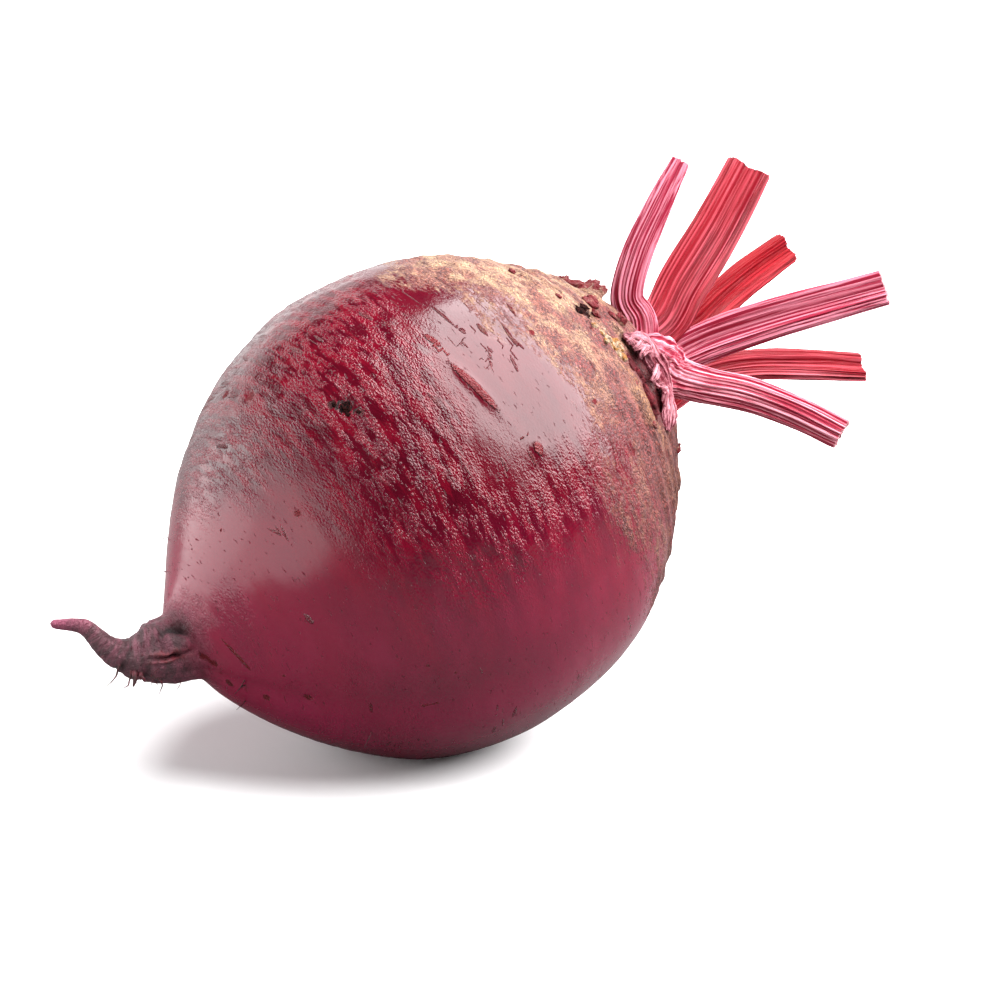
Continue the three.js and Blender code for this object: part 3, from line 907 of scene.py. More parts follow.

# %% [markdown]
# ## The skin's finish
#
# The skin is dark wine with crimson streaks that run round it, rosier on the smooth side near the tail, and
# plum on its underside, which is a painted reflection of the pale floor. Its scars are a deeper red. Its pits are
# red, and the deep ones are painted almost black as their shade. It turns into pale cork with fine dark lines
# towards the crown, with a flush and a tan rim below the torn sheath, and into grey-purple folds on the tail,
# with painted shade in their grooves. It is moist, so it is smooth and glossy, and its pebbles break up the
# edges of the reflections into sparkles.

# %% Skin colours
WINE = (0.088, 0.0012, 0.0105)
CRIMSON = (0.225, 0.0030, 0.0145)
MAROON = (0.050, 0.0008, 0.0050)
PLUM_FLOOR_REFLECTION = (0.235, 0.0045, 0.0420)
SCAR_RED = (0.220, 0.0025, 0.0100)
# Painted shade for the bottoms of deep pits
PIT_SHADE = (0.006, 0.0012, 0.0012)
ROSE = (0.300, 0.0050, 0.0300)
PINK_FLOOR_REFLECTION = (0.300, 0.0160, 0.0600)
# Up to these heights the underside takes the painted reflection of the floor.
UNDERSIDE = (0.010, 0.058)  # heights in metres up to which it is all underside, and from which none of it is
TAIL_SIDE = (44, 66)  # the same for the tail's side, in millimetres over the skin from the tip of the tail

skin_material, tree, shader = new_material("root_skin")
skin_grain = mark_of(tree, "grain", "Vector")
cork_mark, tail_mark = mark_of(tree, "cork"), mark_of(tree, "tail")
pebbly_mark, taut_mark = mark_of(tree, "pebbly"), mark_of(tree, "taut")
broad = use(tree, mottle, Grain=skin_grain, Stretch=(0.11, 0.05, 0.05), Low=0.38, High=0.62)
streaks = use(tree, mottle, Grain=skin_grain, Stretch=(0.60, 0.13, 0.13), Low=0.46, High=0.60)
fine = use(tree, mottle, Grain=skin_grain, Stretch=(2.6, 0.9, 0.9), Low=0.35, High=0.65)
height_up = add(tree, "SeparateXYZ", tree.nodes.new("ShaderNodeTexCoord").outputs["Object"]).outputs["Z"]
underside = between(tree, height_up, *UNDERSIDE, 1.0, 0.0)
print("skin reds:", WINE, CRIMSON)

# %% Wine, crimson and plum
# Between the pebbled places lie smooth ones, drawn out along the girth and darker.
pebbled = use(tree, mottle, Grain=skin_grain, Stretch=(0.85, 0.21, 0.21), Low=0.455, High=0.545)
red = tinted(tree, times(tree, broad, 0.4), WINE, CRIMSON)
smooth_share = times(tree, minus(tree, 1.0, pebbled), times(tree, pebbly_mark, 0.85))
red = tinted(tree, smooth_share, red, MAROON)
streak_share = times(tree, streaks, plus(tree, times(tree, pebbly_mark, 0.30), 0.12))
red = tinted(tree, streak_share, red, CRIMSON)
red = tinted(tree, times(tree, fine, 0.30), red, WINE)
red = tinted(tree, times(tree, taut_mark, 0.55), red, MAROON)
tail_way = add(tree, "SeparateXYZ", skin_grain).outputs["X"]
tail_side = times(tree, minus(tree, 1.0, pebbly_mark), between(tree, tail_way, *TAIL_SIDE, 1.0, 0.0))
red = tinted(tree, times(tree, tail_side, 0.42), red, ROSE)
# The underside's plum, clouded and with pink clouds over it, is a painted reflection of the pale floor.
floor_reflection_clouds = use(tree, mottle, Grain=skin_grain, Stretch=(0.06, 0.06, 0.06), Low=0.35, High=0.7)
floor_reflection_share = times(tree, underside, plus(tree, times(tree, floor_reflection_clouds, 0.3), 0.65))
red = tinted(tree, floor_reflection_share, red, PLUM_FLOOR_REFLECTION)
floor_reflection_pink = use(tree, mottle, Grain=skin_grain, Stretch=(0.17, 0.12, 0.12), Low=0.45, High=0.72)
red = tinted(tree, times(tree, floor_reflection_pink, times(tree, underside, 0.30)), red, PINK_FLOOR_REFLECTION)
print("skin plums:", PLUM_FLOOR_REFLECTION, PINK_FLOOR_REFLECTION)

# %% Cork colours
CORK = (0.50, 0.315, 0.180)
CORK_PINK = (0.28, 0.050, 0.044)
CORK_RUST = (0.185, 0.040, 0.030)
CORK_TAN = (0.42, 0.215, 0.085)
CORK_RED = (0.25, 0.036, 0.040)
TORN_RED = (0.140, 0.0050, 0.0120)
CORK_LINE = (0.060, 0.0085, 0.0085)
RUSTY = (0.051, 0.069)  # heights in metres: all rusty up to the first, and not at all from the second
PINKISH = (0.060, 0.080)

patches = use(tree, mottle, Grain=skin_grain, Stretch=(0.22, 0.15, 0.15), Low=0.42, High=0.60)
rusty = use(tree, mottle, Grain=skin_grain, Stretch=(0.34, 0.22, 0.22), Low=0.48, High=0.62)
low_rust = times(tree, between(tree, height_up, *RUSTY, 1.0, 0.0), 0.50)
low_pink = times(tree, between(tree, height_up, *PINKISH, 1.0, 0.0), 0.55)
pink_share = plus(tree, times(tree, patches, 0.75), low_pink)
cork = tinted(tree, pink_share, CORK, CORK_PINK)
rust_share = plus(tree, times(tree, rusty, 0.35), low_rust)
cork = tinted(tree, rust_share, cork, CORK_RUST)
cork = tinted(tree, times(tree, mark_of(tree, "blush"), 0.65), cork, CORK_RED)
cork = tinted(tree, times(tree, mark_of(tree, "rim"), 0.8), cork, CORK_TAN)
cork = tinted(tree, mark_of(tree, "torn_edge"), cork, TORN_RED)
print("cork:", CORK, "turning to", CORK_PINK, "and", CORK_RUST)

# %% The cork's lines and where it ends
lines = use(tree, squiggles, Grain=skin_grain, Stretch=(1.35, 1.25, 1.25), Width=0.135)
hairlines = use(tree, squiggles, Grain=skin_grain, Stretch=(2.5, 2.3, 2.3), Width=0.080)
lines = larger(tree, lines, times(tree, hairlines, 0.5))
dense = use(tree, mottle, Grain=skin_grain, Stretch=(0.5, 0.35, 0.35), Low=0.30, High=0.60)
line_share = times(tree, lines, plus(tree, times(tree, dense, 0.45), 0.58))
line_share = times(tree, line_share, plus(tree, times(tree, pink_share, 0.5), 0.75))
cork = tinted(tree, line_share, cork, CORK_LINE)
cork_specks = use(tree, dots, Grain=skin_grain, Stretch=(1.7, 1.3, 1.3), Size=0.24, Edge=0.10)
cork = tinted(tree, times(tree, cork_specks, 0.8), cork, CORK_LINE)

ragged = times(tree, minus(tree, streaks, 0.5), 0.35)
ragged = plus(tree, ragged, times(tree, minus(tree, fine, 0.5), 0.45))
ragged = times(tree, ragged, between(tree, cork_mark, 0.02, 0.3))
cork_share = between(tree, plus(tree, cork_mark, ragged), 0.05, 0.90)
colour = tinted(tree, cork_share, red, cork)
print("cork lines:", CORK_LINE)

# %% Tail colours
TAIL_PINK = (0.340, 0.050, 0.120)
TAIL_PURPLE = (0.205, 0.060, 0.088)
TAIL_GREY = (0.090, 0.034, 0.043)
TAIL_GROOVE_SHADE = (0.014, 0.0040, 0.0050)
SLIT_RED = (0.24, 0.026, 0.034)

folds_tone = use(tree, mottle, Grain=skin_grain, Stretch=(0.9, 0.4, 0.4), Low=0.40, High=0.62)
tail = tinted(tree, times(tree, folds_tone, 0.9), TAIL_GREY, TAIL_PURPLE)
tail = tinted(tree, between(tree, tail_way, 1.0, 8.0, 0.65, 0.0), tail, TAIL_PINK)
# Painted shade darkens the tail's grooves, the hollow round the knob, the slit and the place behind the knob.
tail = tinted(tree, times(tree, mark_of(tree, "crease_shade"), 0.8), tail, TAIL_GROOVE_SHADE)
colour = tinted(tree, tail_mark, colour, tail)
sore = times(tree, mark_of(tree, "slit"), plus(tree, times(tree, fine, 0.5), 0.3))
colour = tinted(tree, sore, colour, SLIT_RED)
print("tail:", TAIL_GREY, "to", TAIL_PURPLE)

# %% Marks on the skin
SCAR_LOW, SCAR_BOLD = 0.18, 0.38  # heights in millimetres: a scar fades from the second to the first

scar_place_mark, pit_place_mark = mark_of(tree, "scar_place", "Vector"), mark_of(tree, "pit_place", "Vector")
scar_share = use(tree, blot, Place=scar_place_mark, Grain=skin_grain, Ragged=0.9)
pit_share = use(tree, blot, Place=pit_place_mark, Grain=skin_grain, Ragged=2.2)
scar_lift = add(tree, "SeparateXYZ", scar_place_mark).outputs["Z"]
pit_lift = add(tree, "SeparateXYZ", pit_place_mark).outputs["Z"]
deep_scar, pit_shade_depth = between(tree, scar_lift, -0.5, -1.0), between(tree, pit_lift, -0.3, -0.75)
on_skin = minus(tree, 1.0, times(tree, cork_share, 0.6))
bold = between(tree, maths(tree, "ABSOLUTE", scar_lift), SCAR_LOW, SCAR_BOLD, 0.35, 0.95)
on_skin = larger(tree, times(tree, on_skin, bold), deep_scar)
scarred = tinted(tree, times(tree, deep_scar, 0.5), SCAR_RED, MAROON)
colour = tinted(tree, times(tree, scar_share, on_skin), colour, scarred)
crumbs = use(tree, dots, Grain=skin_grain, Stretch=(3.5, 2.6, 2.6), Size=0.25, Edge=0.12)
# Deep pits are painted almost black, as painted shade where little light reaches their bottoms. Shallow ones keep the
# scar red.
hollow = tinted(tree, pit_shade_depth, SCAR_RED, PIT_SHADE)
hollow = tinted(tree, times(tree, crumbs, times(tree, pit_shade_depth, 0.22)), hollow, CORK)
colour = tinted(tree, times(tree, pit_share, 0.92), colour, hollow)
dashes = use(tree, dots, Grain=skin_grain, Stretch=(1.5, 0.45, 0.45), Size=0.17, Edge=0.07)
colour = tinted(tree, times(tree, dashes, 0.4), colour, MAROON)
feed(tree, shader["Base Color"], colour)
print("scars:", SCAR_RED, "and pits:", PIT_SHADE)

# %% How the skin shines
MOIST = 0.19  # the roughness of the moist skin, to which dry places add
PEBBLE_SMOOTHER = 0.07

marked = larger(tree, scar_share, pit_share)
dull = larger(tree, cork_share, tail_mark)
dryness = plus(tree, times(tree, dull, 0.30), times(tree, fine, 0.04))
dryness = plus(tree, dryness, times(tree, scar_share, 0.06))
dryness = plus(tree, dryness, times(tree, larger(tree, pit_share, dashes), 0.55))
sleek = larger(tree, times(tree, taut_mark, 0.7), pebbly_mark)
dryness = minus(tree, dryness, times(tree, sleek, PEBBLE_SMOOTHER))
feed(tree, shader["Roughness"], plus(tree, dryness, MOIST))
shader["IOR"].default_value = 1.45
print("roughness of the moist skin:", MOIST)

# %% Pebbles, scars and crackle as relief
# Every height here is in millimetres.
lumpy = use(tree, pebbles, Grain=skin_grain, Stretch=(2.9, 1.9, 1.9), Roundness=0.30)
small = use(tree, pebbles, Grain=skin_grain, Stretch=(5.6, 4.2, 4.2), Roundness=0.25)
where_pebbled = times(tree, pebbly_mark, plus(tree, times(tree, pebbled, 0.72), 0.28))
height = times(tree, lumpy, plus(tree, times(tree, where_pebbled, 0.15), 0.004))
small_height = plus(tree, times(tree, where_pebbled, 0.035), 0.003)
height = plus(tree, height, times(tree, small, small_height))
height = plus(tree, height, times(tree, scar_share, times(tree, scar_lift, bold)))
height = plus(tree, height, times(tree, pit_share, pit_lift))
height = minus(tree, height, times(tree, dashes, 0.05))
grit = use(tree, mottle, Grain=skin_grain, Stretch=(3.0, 3.0, 3.0), Low=0.2, High=0.8)
height = plus(tree, height, times(tree, times(tree, grit, marked), 0.60))
rough = use(tree, mottle, Grain=skin_grain, Stretch=(1.4, 0.9, 0.9), Low=0.2, High=0.8)
rough = minus(tree, times(tree, rough, 0.32), times(tree, lines, 0.13))
bumped(tree, plus(tree, height, times(tree, rough, dull)), shader["Normal"])

root_skin = piece_of("root_skin", [(skin, tip, top, skin_marks)], skin_material)
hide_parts("root")

# %% [markdown]
# ## The leaf stalks
#
# A beet's leaf stalk is a flat oval with a channel down its upper face and many fine ribs, pale on their ridges
# and crimson in their grooves. Where it leaves the crown it widens into a sheath. A stalk is its cross-section
# carried along a smooth curve, which keeps its ribs unbroken from the crown to the cut.

# %% Stalk shapes
# Points along the middle, x, y, z, width, thickness, then the way that the channelled face looks.
STALKS = {
    "stalk_top_front": (
        [
            (46.4, -3.4, 4.8, 7.4, 2.6),
            (49.6, -2.0, 10.4, 6.4, 2.9),
            (49.8, -1.0, 15.4, 5.4, 3.1),
            (54.6, -0.6, 21.5, 4.9, 3.0),
            (61.5, 0.1, 26.8, 4.2, 2.8),
            (68.2, 1.2, 31.2, 3.0, 2.4),
        ],
        (0.32, 0.81, -0.49),
    ),
    "stalk_top_broad": (
        [
            (45.6, 2.8, 5.4, 7.4, 3.0),
            (50.5, 2.9, 5.2, 7.6, 3.3),
            (56.4, 2.8, 5.5, 8.2, 3.8),
            (63.2, 5.2, 8.5, 8.6, 4.0),
            (73.8, 8.9, 12.1, 8.4, 3.9),
            (85.4, 13.2, 16.8, 7.8, 3.6),
        ],
        (-0.22, -0.88, 0.44),
    ),
    "stalk_back": (
        [
            (44.6, 9.4, -1.4, 6.8, 2.8),
            (52.5, 8.8, -1.7, 6.4, 3.0),
            (64.4, 10.2, -2.5, 6.3, 3.2),
            (74.0, 14.0, -3.0, 6.2, 3.1),
            (82.2, 16.8, -3.5, 6.0, 3.0),
            (90.5, 19.2, -4.2, 5.6, 2.9),
        ],
        (-0.5, -0.8, 0.3),
    ),
    "stalk_long_broad": (
        [
            (45.8, 2.2, -1.6, 6.4, 3.2),
            (51.0, 1.2, -1.0, 6.4, 3.6),
            (57.6, -0.8, 0, 6.8, 4.0),
            (64.6, -5.0, 1.0, 7.2, 4.2),
            (75.0, -12.0, 1.7, 6.8, 4.1),
            (86.6, -20.1, 2.1, 6.0, 3.7),
        ],
        (-0.4, -0.5, 0.75),
    ),
    "stalk_low_back": (
        [
            (45.0, 1.2, -8.0, 6.8, 2.8),
            (51.0, 2.0, -7.4, 6.2, 3.1),
            (60.1, 2.6, -7.6, 5.9, 3.3),
            (69.2, 2.2, -10.8, 5.8, 3.2),
            (78.3, 0.6, -15.5, 5.6, 3.2),
            (87.1, -1.1, -20.6, 5.3, 3.0),
        ],
        (-0.2, -0.5, 0.84),
    ),
    "stalk_low_front": (
        [
            (42.0, -9.5, 6.6, 12.6, 2.4),
            (45.6, -11.8, 6.9, 11.4, 2.6),
            (48.0, -13.8, 4.1, 7.0, 3.2),
            (51.4, -16.2, 1.4, 5.8, 3.6),
            (56.2, -19.8, -1.8, 5.7, 3.6),
            (60.8, -25.0, -6.1, 5.4, 3.3),
            (64.8, -31.8, -10.9, 5.0, 2.9),
        ],
        (0.45, 0.72, -0.5),
    ),
}
RIBS = 13
COARSE_RIB, FINE_RIB = 0.09, 0.13
STALK_COLUMNS = 234
STALK_ROWS = 170
print(len(STALKS), "stalks")

# %% Directions along a curve


def unit(arrows):
    """The same arrows, each one long."""
    return arrows / np.linalg.norm(arrows, axis=-1, keepdims=True)


def heading(path, t, step=0.05):
    """The way that a curve runs at places t: from a little before to a little after, one long."""
    last = len(path) - 1
    return unit(along(path, np.clip(t + step, 0, last)) - along(path, np.clip(t - step, 0, last)))


def rows_round(places, sides):
    """Each place with each angle of a full turn, as two arrays with a row for each place."""
    return np.meshgrid(places, np.linspace(0, 2 * np.pi, sides, endpoint=False), indexing="ij")


def ended(rows, **marks):
    """What piece_of takes: rows of points, the means of the first and the last for its ends, and its marks."""
    return rows, rows[0].mean(0), rows[-1].mean(0), marks


print("a curve straight up heads", heading([(0, 0, 0), (0, 0, 2)], np.array(0.5)))

# %% Carrying the section along
ROW_LENGTH = 9.0  # about the way between two points of a stalk's curve, in millimetres
LIPS = np.array([0.985, 0.95, 0.88, 0.78, 0.66, 0.52, 0.36, 0.18])  # the cut closes inwards in these shares
SINK = np.array([0.08, 0.16, 0.17, 0.12, 0.06, 0.02, 0.0, -0.02])  # and rises this much there, in millimetres


def stalk_frames(line, channel, t):
    """Middle, side, face and forward directions at places t: forward along the curve, the face as near as can
    be to the channel's direction, and the side square to both."""
    path, channel = np.array(line)[:, :3], np.array(channel)
    forward = heading(path, t)
    face = unit(channel - (forward @ channel)[..., None] * forward)
    return along(path, t), np.cross(forward, face), face, forward


def stalk_section(psi, width, thick, rib):
    """Across and through at angles psi: an oval with its ribs, less a channel, with its edges bent round where
    the stalk is wide enough to clasp the crown."""
    across = (width / 2 + rib) * np.cos(psi)
    channel = 0.42 * thick * bell(np.cos(psi), 0.5) * np.maximum(np.sin(psi), 0)
    bow = 0.28 * np.maximum(width - 6.5, 0) * np.cos(psi) ** 2
    return across, (thick / 2 + rib) * np.sin(psi) - channel + bow


def rib_waves(psi, seed, shift):
    """A wave of 13 ribs and one of 26, each from -1, in a groove, to 1, on a ridge, pushed to and fro."""
    wander = 0.16 * noise(np.stack([2.1 * np.cos(psi), 2.1 * np.sin(psi), shift], -1), seed)
    return np.cos(RIBS * (psi + wander)), np.cos(2 * RIBS * (psi + wander) + 0.7)


def stalk_surface(name, seed, crinkle):
    """Rows of points of one stalk with a rounded, slightly hollow cut, and its marks."""
    line, channel = STALKS[name]
    last = len(line) - 1
    places = np.concatenate([np.linspace(0, last, STALK_ROWS), np.full(len(LIPS), last)])
    shrink = np.concatenate([np.ones(STALK_ROWS), LIPS])[:, None]
    dished = np.concatenate([np.zeros(STALK_ROWS), SINK])[:, None]
    t, psi = rows_round(places, STALK_COLUMNS)
    middle, side, face, forward = stalk_frames(line, channel, t)
    width, thick = along(line, t)[..., 3], along(line, t)[..., 4]
    way = ROW_LENGTH * t
    lie = np.stack([way, width / 2 * np.cos(psi), thick / 2 * np.sin(psi)], -1)
    coarse, double = rib_waves(psi, seed, way / 30)
    foot = 1 - rise(t, 0.9, 2.7)
    rib = COARSE_RIB * coarse + FINE_RIB * double - 0.05
    rib = rib + 0.18 * noise(np.stack([np.cos(psi) * 1.2, np.sin(psi) * 1.2, way / 9], -1), seed + 1)
    rib = rib + crinkle * foot * layered(lie * [0.45, 0.55, 0.55], seed + 3, 3)
    across, through = stalk_section(psi, width, thick, rib)
    rows = middle + side * (across * shrink)[..., None] + face * (through * shrink)[..., None]
    cut_from = rise(t, last - 0.12, last)
    fray = 0.25 * noise(np.stack([np.cos(psi) * 3, np.sin(psi) * 3, 0 * psi], -1), seed + 2)
    ahead = 0.08 * across * shrink + dished / np.maximum(cut_from, 0.01) + fray * shrink - 0.2
    rows = rows + forward * (ahead * cut_from)[..., None]
    ridge = 0.5 + 0.34 * double + 0.16 * coarse
    return ended(rows, grain=lie, ridge=ridge, cut=0 * psi + (shrink < 1), foot=foot * (0.15 + 0.65 * crinkle))


print("ribs counted round a stalk:", 2 * RIBS)

# %% [markdown]
# ## The stalks' finish
#
# The pale ridges and the crimson grooves come from the same wave that shapes the ribs, so colour follows form.
# A noise drawn out along the stalk breaks the stripes up, as fibres do. The cut end is paler. At
# the foot the stripes dissolve into a mottled, crackled membrane.

# %% Stalk material
CUT_PALE = (0.56, 0.22, 0.25)
MEMBRANE = (0.42, 0.115, 0.165)


def stalk_finish(name, groove, crest, flush, flush_share, gleam):
    """A stalk's material, with the colours of its grooves and crests, its flush of red, how far that spreads, and
    how much of its gloss is left."""
    material, tree, shader = new_material(name)
    lie = mark_of(tree, "grain", "Vector")
    fibres = use(tree, mottle, Grain=lie, Stretch=(0.06, 1.6, 1.6), Low=0.35, High=0.65)
    blush = use(tree, mottle, Grain=lie, Stretch=(0.04, 0.30, 0.30), Low=0.35, High=0.65)
    threads = use(tree, mottle, Grain=lie, Stretch=(0.03, 2.6, 2.6), Low=0.40, High=0.60)
    broken = times(tree, minus(tree, fibres, 0.5), 0.40)
    ridge = times(tree, plus(tree, mark_of(tree, "ridge"), threads), 0.55)
    ridge = plus(tree, ridge, broken)
    colour = tinted(tree, between(tree, ridge, 0.35, 0.95), groove, crest)
    colour = tinted(tree, times(tree, blush, flush_share), colour, flush)
    skinny = use(tree, mottle, Grain=lie, Stretch=(0.5, 0.7, 0.7), Low=0.42, High=0.60)
    cracks = use(tree, crackle, Grain=lie, Stretch=(1.1, 1.7, 1.7), Width=0.26)
    membrane = tinted(tree, times(tree, cracks, 0.85), MEMBRANE, groove)
    colour = tinted(tree, times(tree, skinny, mark_of(tree, "foot")), colour, membrane)
    colour = tinted(tree, mark_of(tree, "cut"), colour, CUT_PALE)
    feed(tree, shader["Base Color"], colour)
    feed(tree, shader["Roughness"], plus(tree, times(tree, fibres, 0.15), 0.30))
    shader["IOR"].default_value = 1.4
    shader["Specular IOR Level"].default_value = gleam
    bumped(tree, times(tree, threads, 0.10), shader["Normal"])
    return material


print("a stalk's cut end:", CUT_PALE)

# %% The six stalks
# Groove, crest and flush, how far the flush spreads, and how much of the gloss is left
STALK_LOOKS = {
    "stalk_pink": ((0.32, 0.014, 0.042), (0.90, 0.330, 0.440), (0.42, 0.022, 0.060), 0.28, 0.5),
    "stalk_striped": ((0.12, 0.0025, 0.0080), (0.50, 0.080, 0.110), (0.29, 0.0035, 0.0120), 0.60, 0.2),
    "stalk_red": ((0.12, 0.0015, 0.0050), (0.36, 0.016, 0.028), (0.25, 0.0025, 0.0075), 0.85, 0.12),
    "stalk_light": ((0.42, 0.022, 0.058), (0.92, 0.380, 0.470), (0.50, 0.030, 0.075), 0.28, 0.5),
    "stalk_torn": ((0.085, 0.0030, 0.0090), (0.66, 0.270, 0.320), (0.20, 0.008, 0.026), 0.45, 0.30),
}
finishes = {name: stalk_finish(name, *look) for name, look in STALK_LOOKS.items()}

# The look of each stalk that isn't pink, and how crinkled a foot is where it isn't nearly smooth
LOOK_OF = {
    "stalk_low_front": "stalk_light",
    "stalk_top_broad": "stalk_striped",
    "stalk_back": "stalk_red",
    # The low back stalk takes the darker striped look partly as painted shade, since it lies in shade. The top broad
    # stalk has that look as its own colour.
    "stalk_low_back": "stalk_striped",
}
CRINKLES, SMOOTH_FOOT = {"stalk_low_front": 0.75}, 0.1

for number, name in enumerate(STALKS):
    surface = stalk_surface(name, 40 + 5 * number, CRINKLES.get(name, SMOOTH_FOOT))
    made = piece_of(name + "_skin", [surface], finishes[LOOK_OF.get(name, "stalk_pink")])
    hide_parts(name)

# %% [markdown]
# ## What is left of old leaves
#
# Leaves have come and gone since the root was small, and each left a short stub on the rim of the crown, corky
# at the foot and dried dark red at its broken top. The stubs stand on the same leaf spiral as in the solid, and
# the ones that would meet a stalk are left out, as there. Each is a crescent that tapers as it rises, with a
# sunken, broken top.

# %% Stubs
STUBS, STUB_FIRST, STUB_RINGS = 18, 0.55, (22.7, 21.2)
STUB_CLEAR = 7.5
STUB_WIDTH, STUB_THICK, STUB_HEIGHT, STUB_SUNK = 7.0, 2.4, 3.6, 1.6
STUB_ROWS, STUB_COLUMNS = 22, 48
STUB_LEAN = 0.35
TOP_CLOSES = np.array([0.9, 0.75, 0.6, 0.42, 0.25, 0.1])  # the top closes inwards in these shares
TOP_SINKS = np.array([0.0, -0.15, -0.35, -0.5, -0.6, -0.65])  # and sinks this much there, in millimetres


def skin_frame(t, phi):
    """A point of the solid's skin, and the directions round the root, out of the skin and towards the crown."""
    t, phi = np.array(t), np.array(phi)
    around = unit(skin_point(t, phi + 0.02) - skin_point(t, phi - 0.02))
    up = skin_point(t + 0.05, phi) - skin_point(t - 0.05, phi)
    outward = unit(np.cross(up, around))
    return skin_point(t, phi), around, outward, np.cross(around, outward)


def stub_surface(t, phi, size, seed):
    """Rows of points of one stub, from below the skin to the middle of its sunken top."""
    foot, around, outward, inward = skin_frame(t, phi)
    lean = (outward + STUB_LEAN * inward) / np.hypot(1, STUB_LEAN)
    height = STUB_HEIGHT * size
    level = np.concatenate([np.linspace(-STUB_SUNK, height, STUB_ROWS), np.full(len(TOP_CLOSES), height)])
    share = np.interp(level, [-STUB_SUNK, 0.1 * height, 0.75 * height, height], [1.1, 1.1, 0.92, 0.78])
    share[STUB_ROWS:] = share[STUB_ROWS - 1] * TOP_CLOSES
    top = np.concatenate([np.zeros(STUB_ROWS), TOP_SINKS]) * size
    level_grid, psi = rows_round(level, STUB_COLUMNS)
    share, top = share[:, None], top[:, None]
    torn = noise(np.stack([3.0 * np.cos(psi), 2.0 * np.sin(psi), level_grid * 0.9], -1), seed)
    rough = 1 + 0.16 * torn + 0.05 * np.cos(9 * psi + seed)
    across = 0.5 * STUB_WIDTH * size * share * np.cos(psi) * rough
    through = 0.5 * STUB_THICK * size * share * np.sin(psi) * rough - 0.9 * np.sin(psi) ** 2
    ragged = 0.8 * size * noise(np.stack([2.2 * np.cos(psi), 2.2 * np.sin(psi), 0 * psi], -1), seed + 1)
    stands = level_grid + top + ragged * rise(level_grid, 0.3 * height, height)
    rows = foot + stands[..., None] * lean + across[..., None] * around + through[..., None] * inward
    return ended(rows, grain=rows.copy(), tip=rise(level_grid, 0.1 * height, height))


feet = np.array([line[1][:3] for line, _ in STALKS.values()])
stubs = []
for number, (ring, angle, share) in enumerate(zip(*leaf_spiral(STUBS, STUB_RINGS, STUB_FIRST))):
    foot = skin_point(np.array(ring), np.array(angle))
    if np.linalg.norm(feet - foot, axis=1).min() > STUB_CLEAR:
        # The ones on the viewer's side and low down have crumbled most.
        weathered = 1 - 0.45 * bell(turned(angle + 0.6), 0.9) - 0.72 * bell(turned(angle + 2.2), 0.7)
        stubs.append(stub_surface(ring, angle, (1 - 0.62 * share) * weathered, 60 + 3 * number))
print(len(stubs), "stubs")

# %% Torn strips
# Points along each strip: x, angle in degrees, height over the skin, width, thickness. Then how pale it is.
STRIPS = [
    ([(40.2, -45, 0.8, 1.2, 0.6), (41.6, -49, 1.2, 3.4, 1.0), (43.2, -54, 1.7, 5.0, 1.2), (43.8, -61, 1.8, 5.2, 1.2),
      (43.6, -69, 1.5, 5.2, 1.1), (43.2, -76, 1.2, 5.4, 1.0), (42.4, -82, 1.0, 5.4, 1.0), (41.0, -88, 0.7, 4.6, 0.9),
      (39.6, -92, 0.2, 2.6, 0.5)], 0.35),
    ([(42.2, -48, 1.4, 1.6, 0.6), (41.0, -48.5, 1.3, 1.3, 0.5), (39.8, -49, 0.8, 0.8, 0.4)], 0.2),
    ([(42.4, -51, 1.8, 1.6, 0.6), (41.2, -52, 1.7, 1.2, 0.5), (39.9, -52.5, 1.0, 0.7, 0.4)], 0.2),
    ([(42.6, -55, 1.8, 1.5, 0.6), (41.4, -56, 1.6, 1.2, 0.5), (40.5, -57, 1.0, 0.7, 0.4)], 0.3),
    ([(42.8, -66, 1.6, 1.8, 0.6), (41.4, -68, 1.4, 1.5, 0.5), (40.2, -69, 0.8, 0.8, 0.4)], 0.4),
]
STRIP_ROWS, STRIP_COLUMNS = 16, 56  # rows for each step between points


def strip_surface(line, pale, seed):
    """Rows of points of one strip: a thin oval carried along a smooth curve over the skin, wrinkled across, with
    five ridges along it and edges torn by noise."""
    frames = [skin_frame(place_at(x), np.radians(angle)) for x, angle, *_ in line]
    path = np.array([foot + lift * outward for (_, _, lift, *_), (foot, _, outward, _) in zip(line, frames)])
    facing = np.array([outward for _, _, outward, _ in frames])
    last = len(line) - 1
    t, psi = rows_round(np.linspace(0, last, STRIP_ROWS * last), STRIP_COLUMNS)
    forward = heading(path, t)
    side = unit(np.cross(forward, along(facing, t)))
    face = np.cross(side, forward)
    sizes = along([row[3:] for row in line], t)
    width, thick = np.maximum(sizes[..., 0], 0.1), np.maximum(sizes[..., 1], 0.1)
    tear = 0.26 * layered(np.stack([3.1 * t, 1.3 * np.cos(psi), 0 * psi], -1), seed, 3)
    across = width / 2 * np.cos(psi) * (1 + tear)
    crimp = 0.16 * layered(np.stack([2.5 * t, 1.6 * across, 0 * psi], -1), seed + 1, 2)
    ridges = np.cos(10 * np.pi * across / width)
    through = thick / 2 * np.sin(psi) + crimp + 0.16 * ridges
    rows = along(path, t) + side * across[..., None] + face * through[..., None]
    lie = np.stack([ROW_LENGTH * t, across, through], -1)
    return ended(rows, grain=lie, ridge=0.5 + 0.5 * ridges, cut=0 * t, foot=0 * t + pale)


torn = [strip_surface(line, pale, 80 + 3 * k) for k, (line, pale) in enumerate(STRIPS)]
torn_sheath = piece_of("torn_sheath", torn, finishes["stalk_torn"])

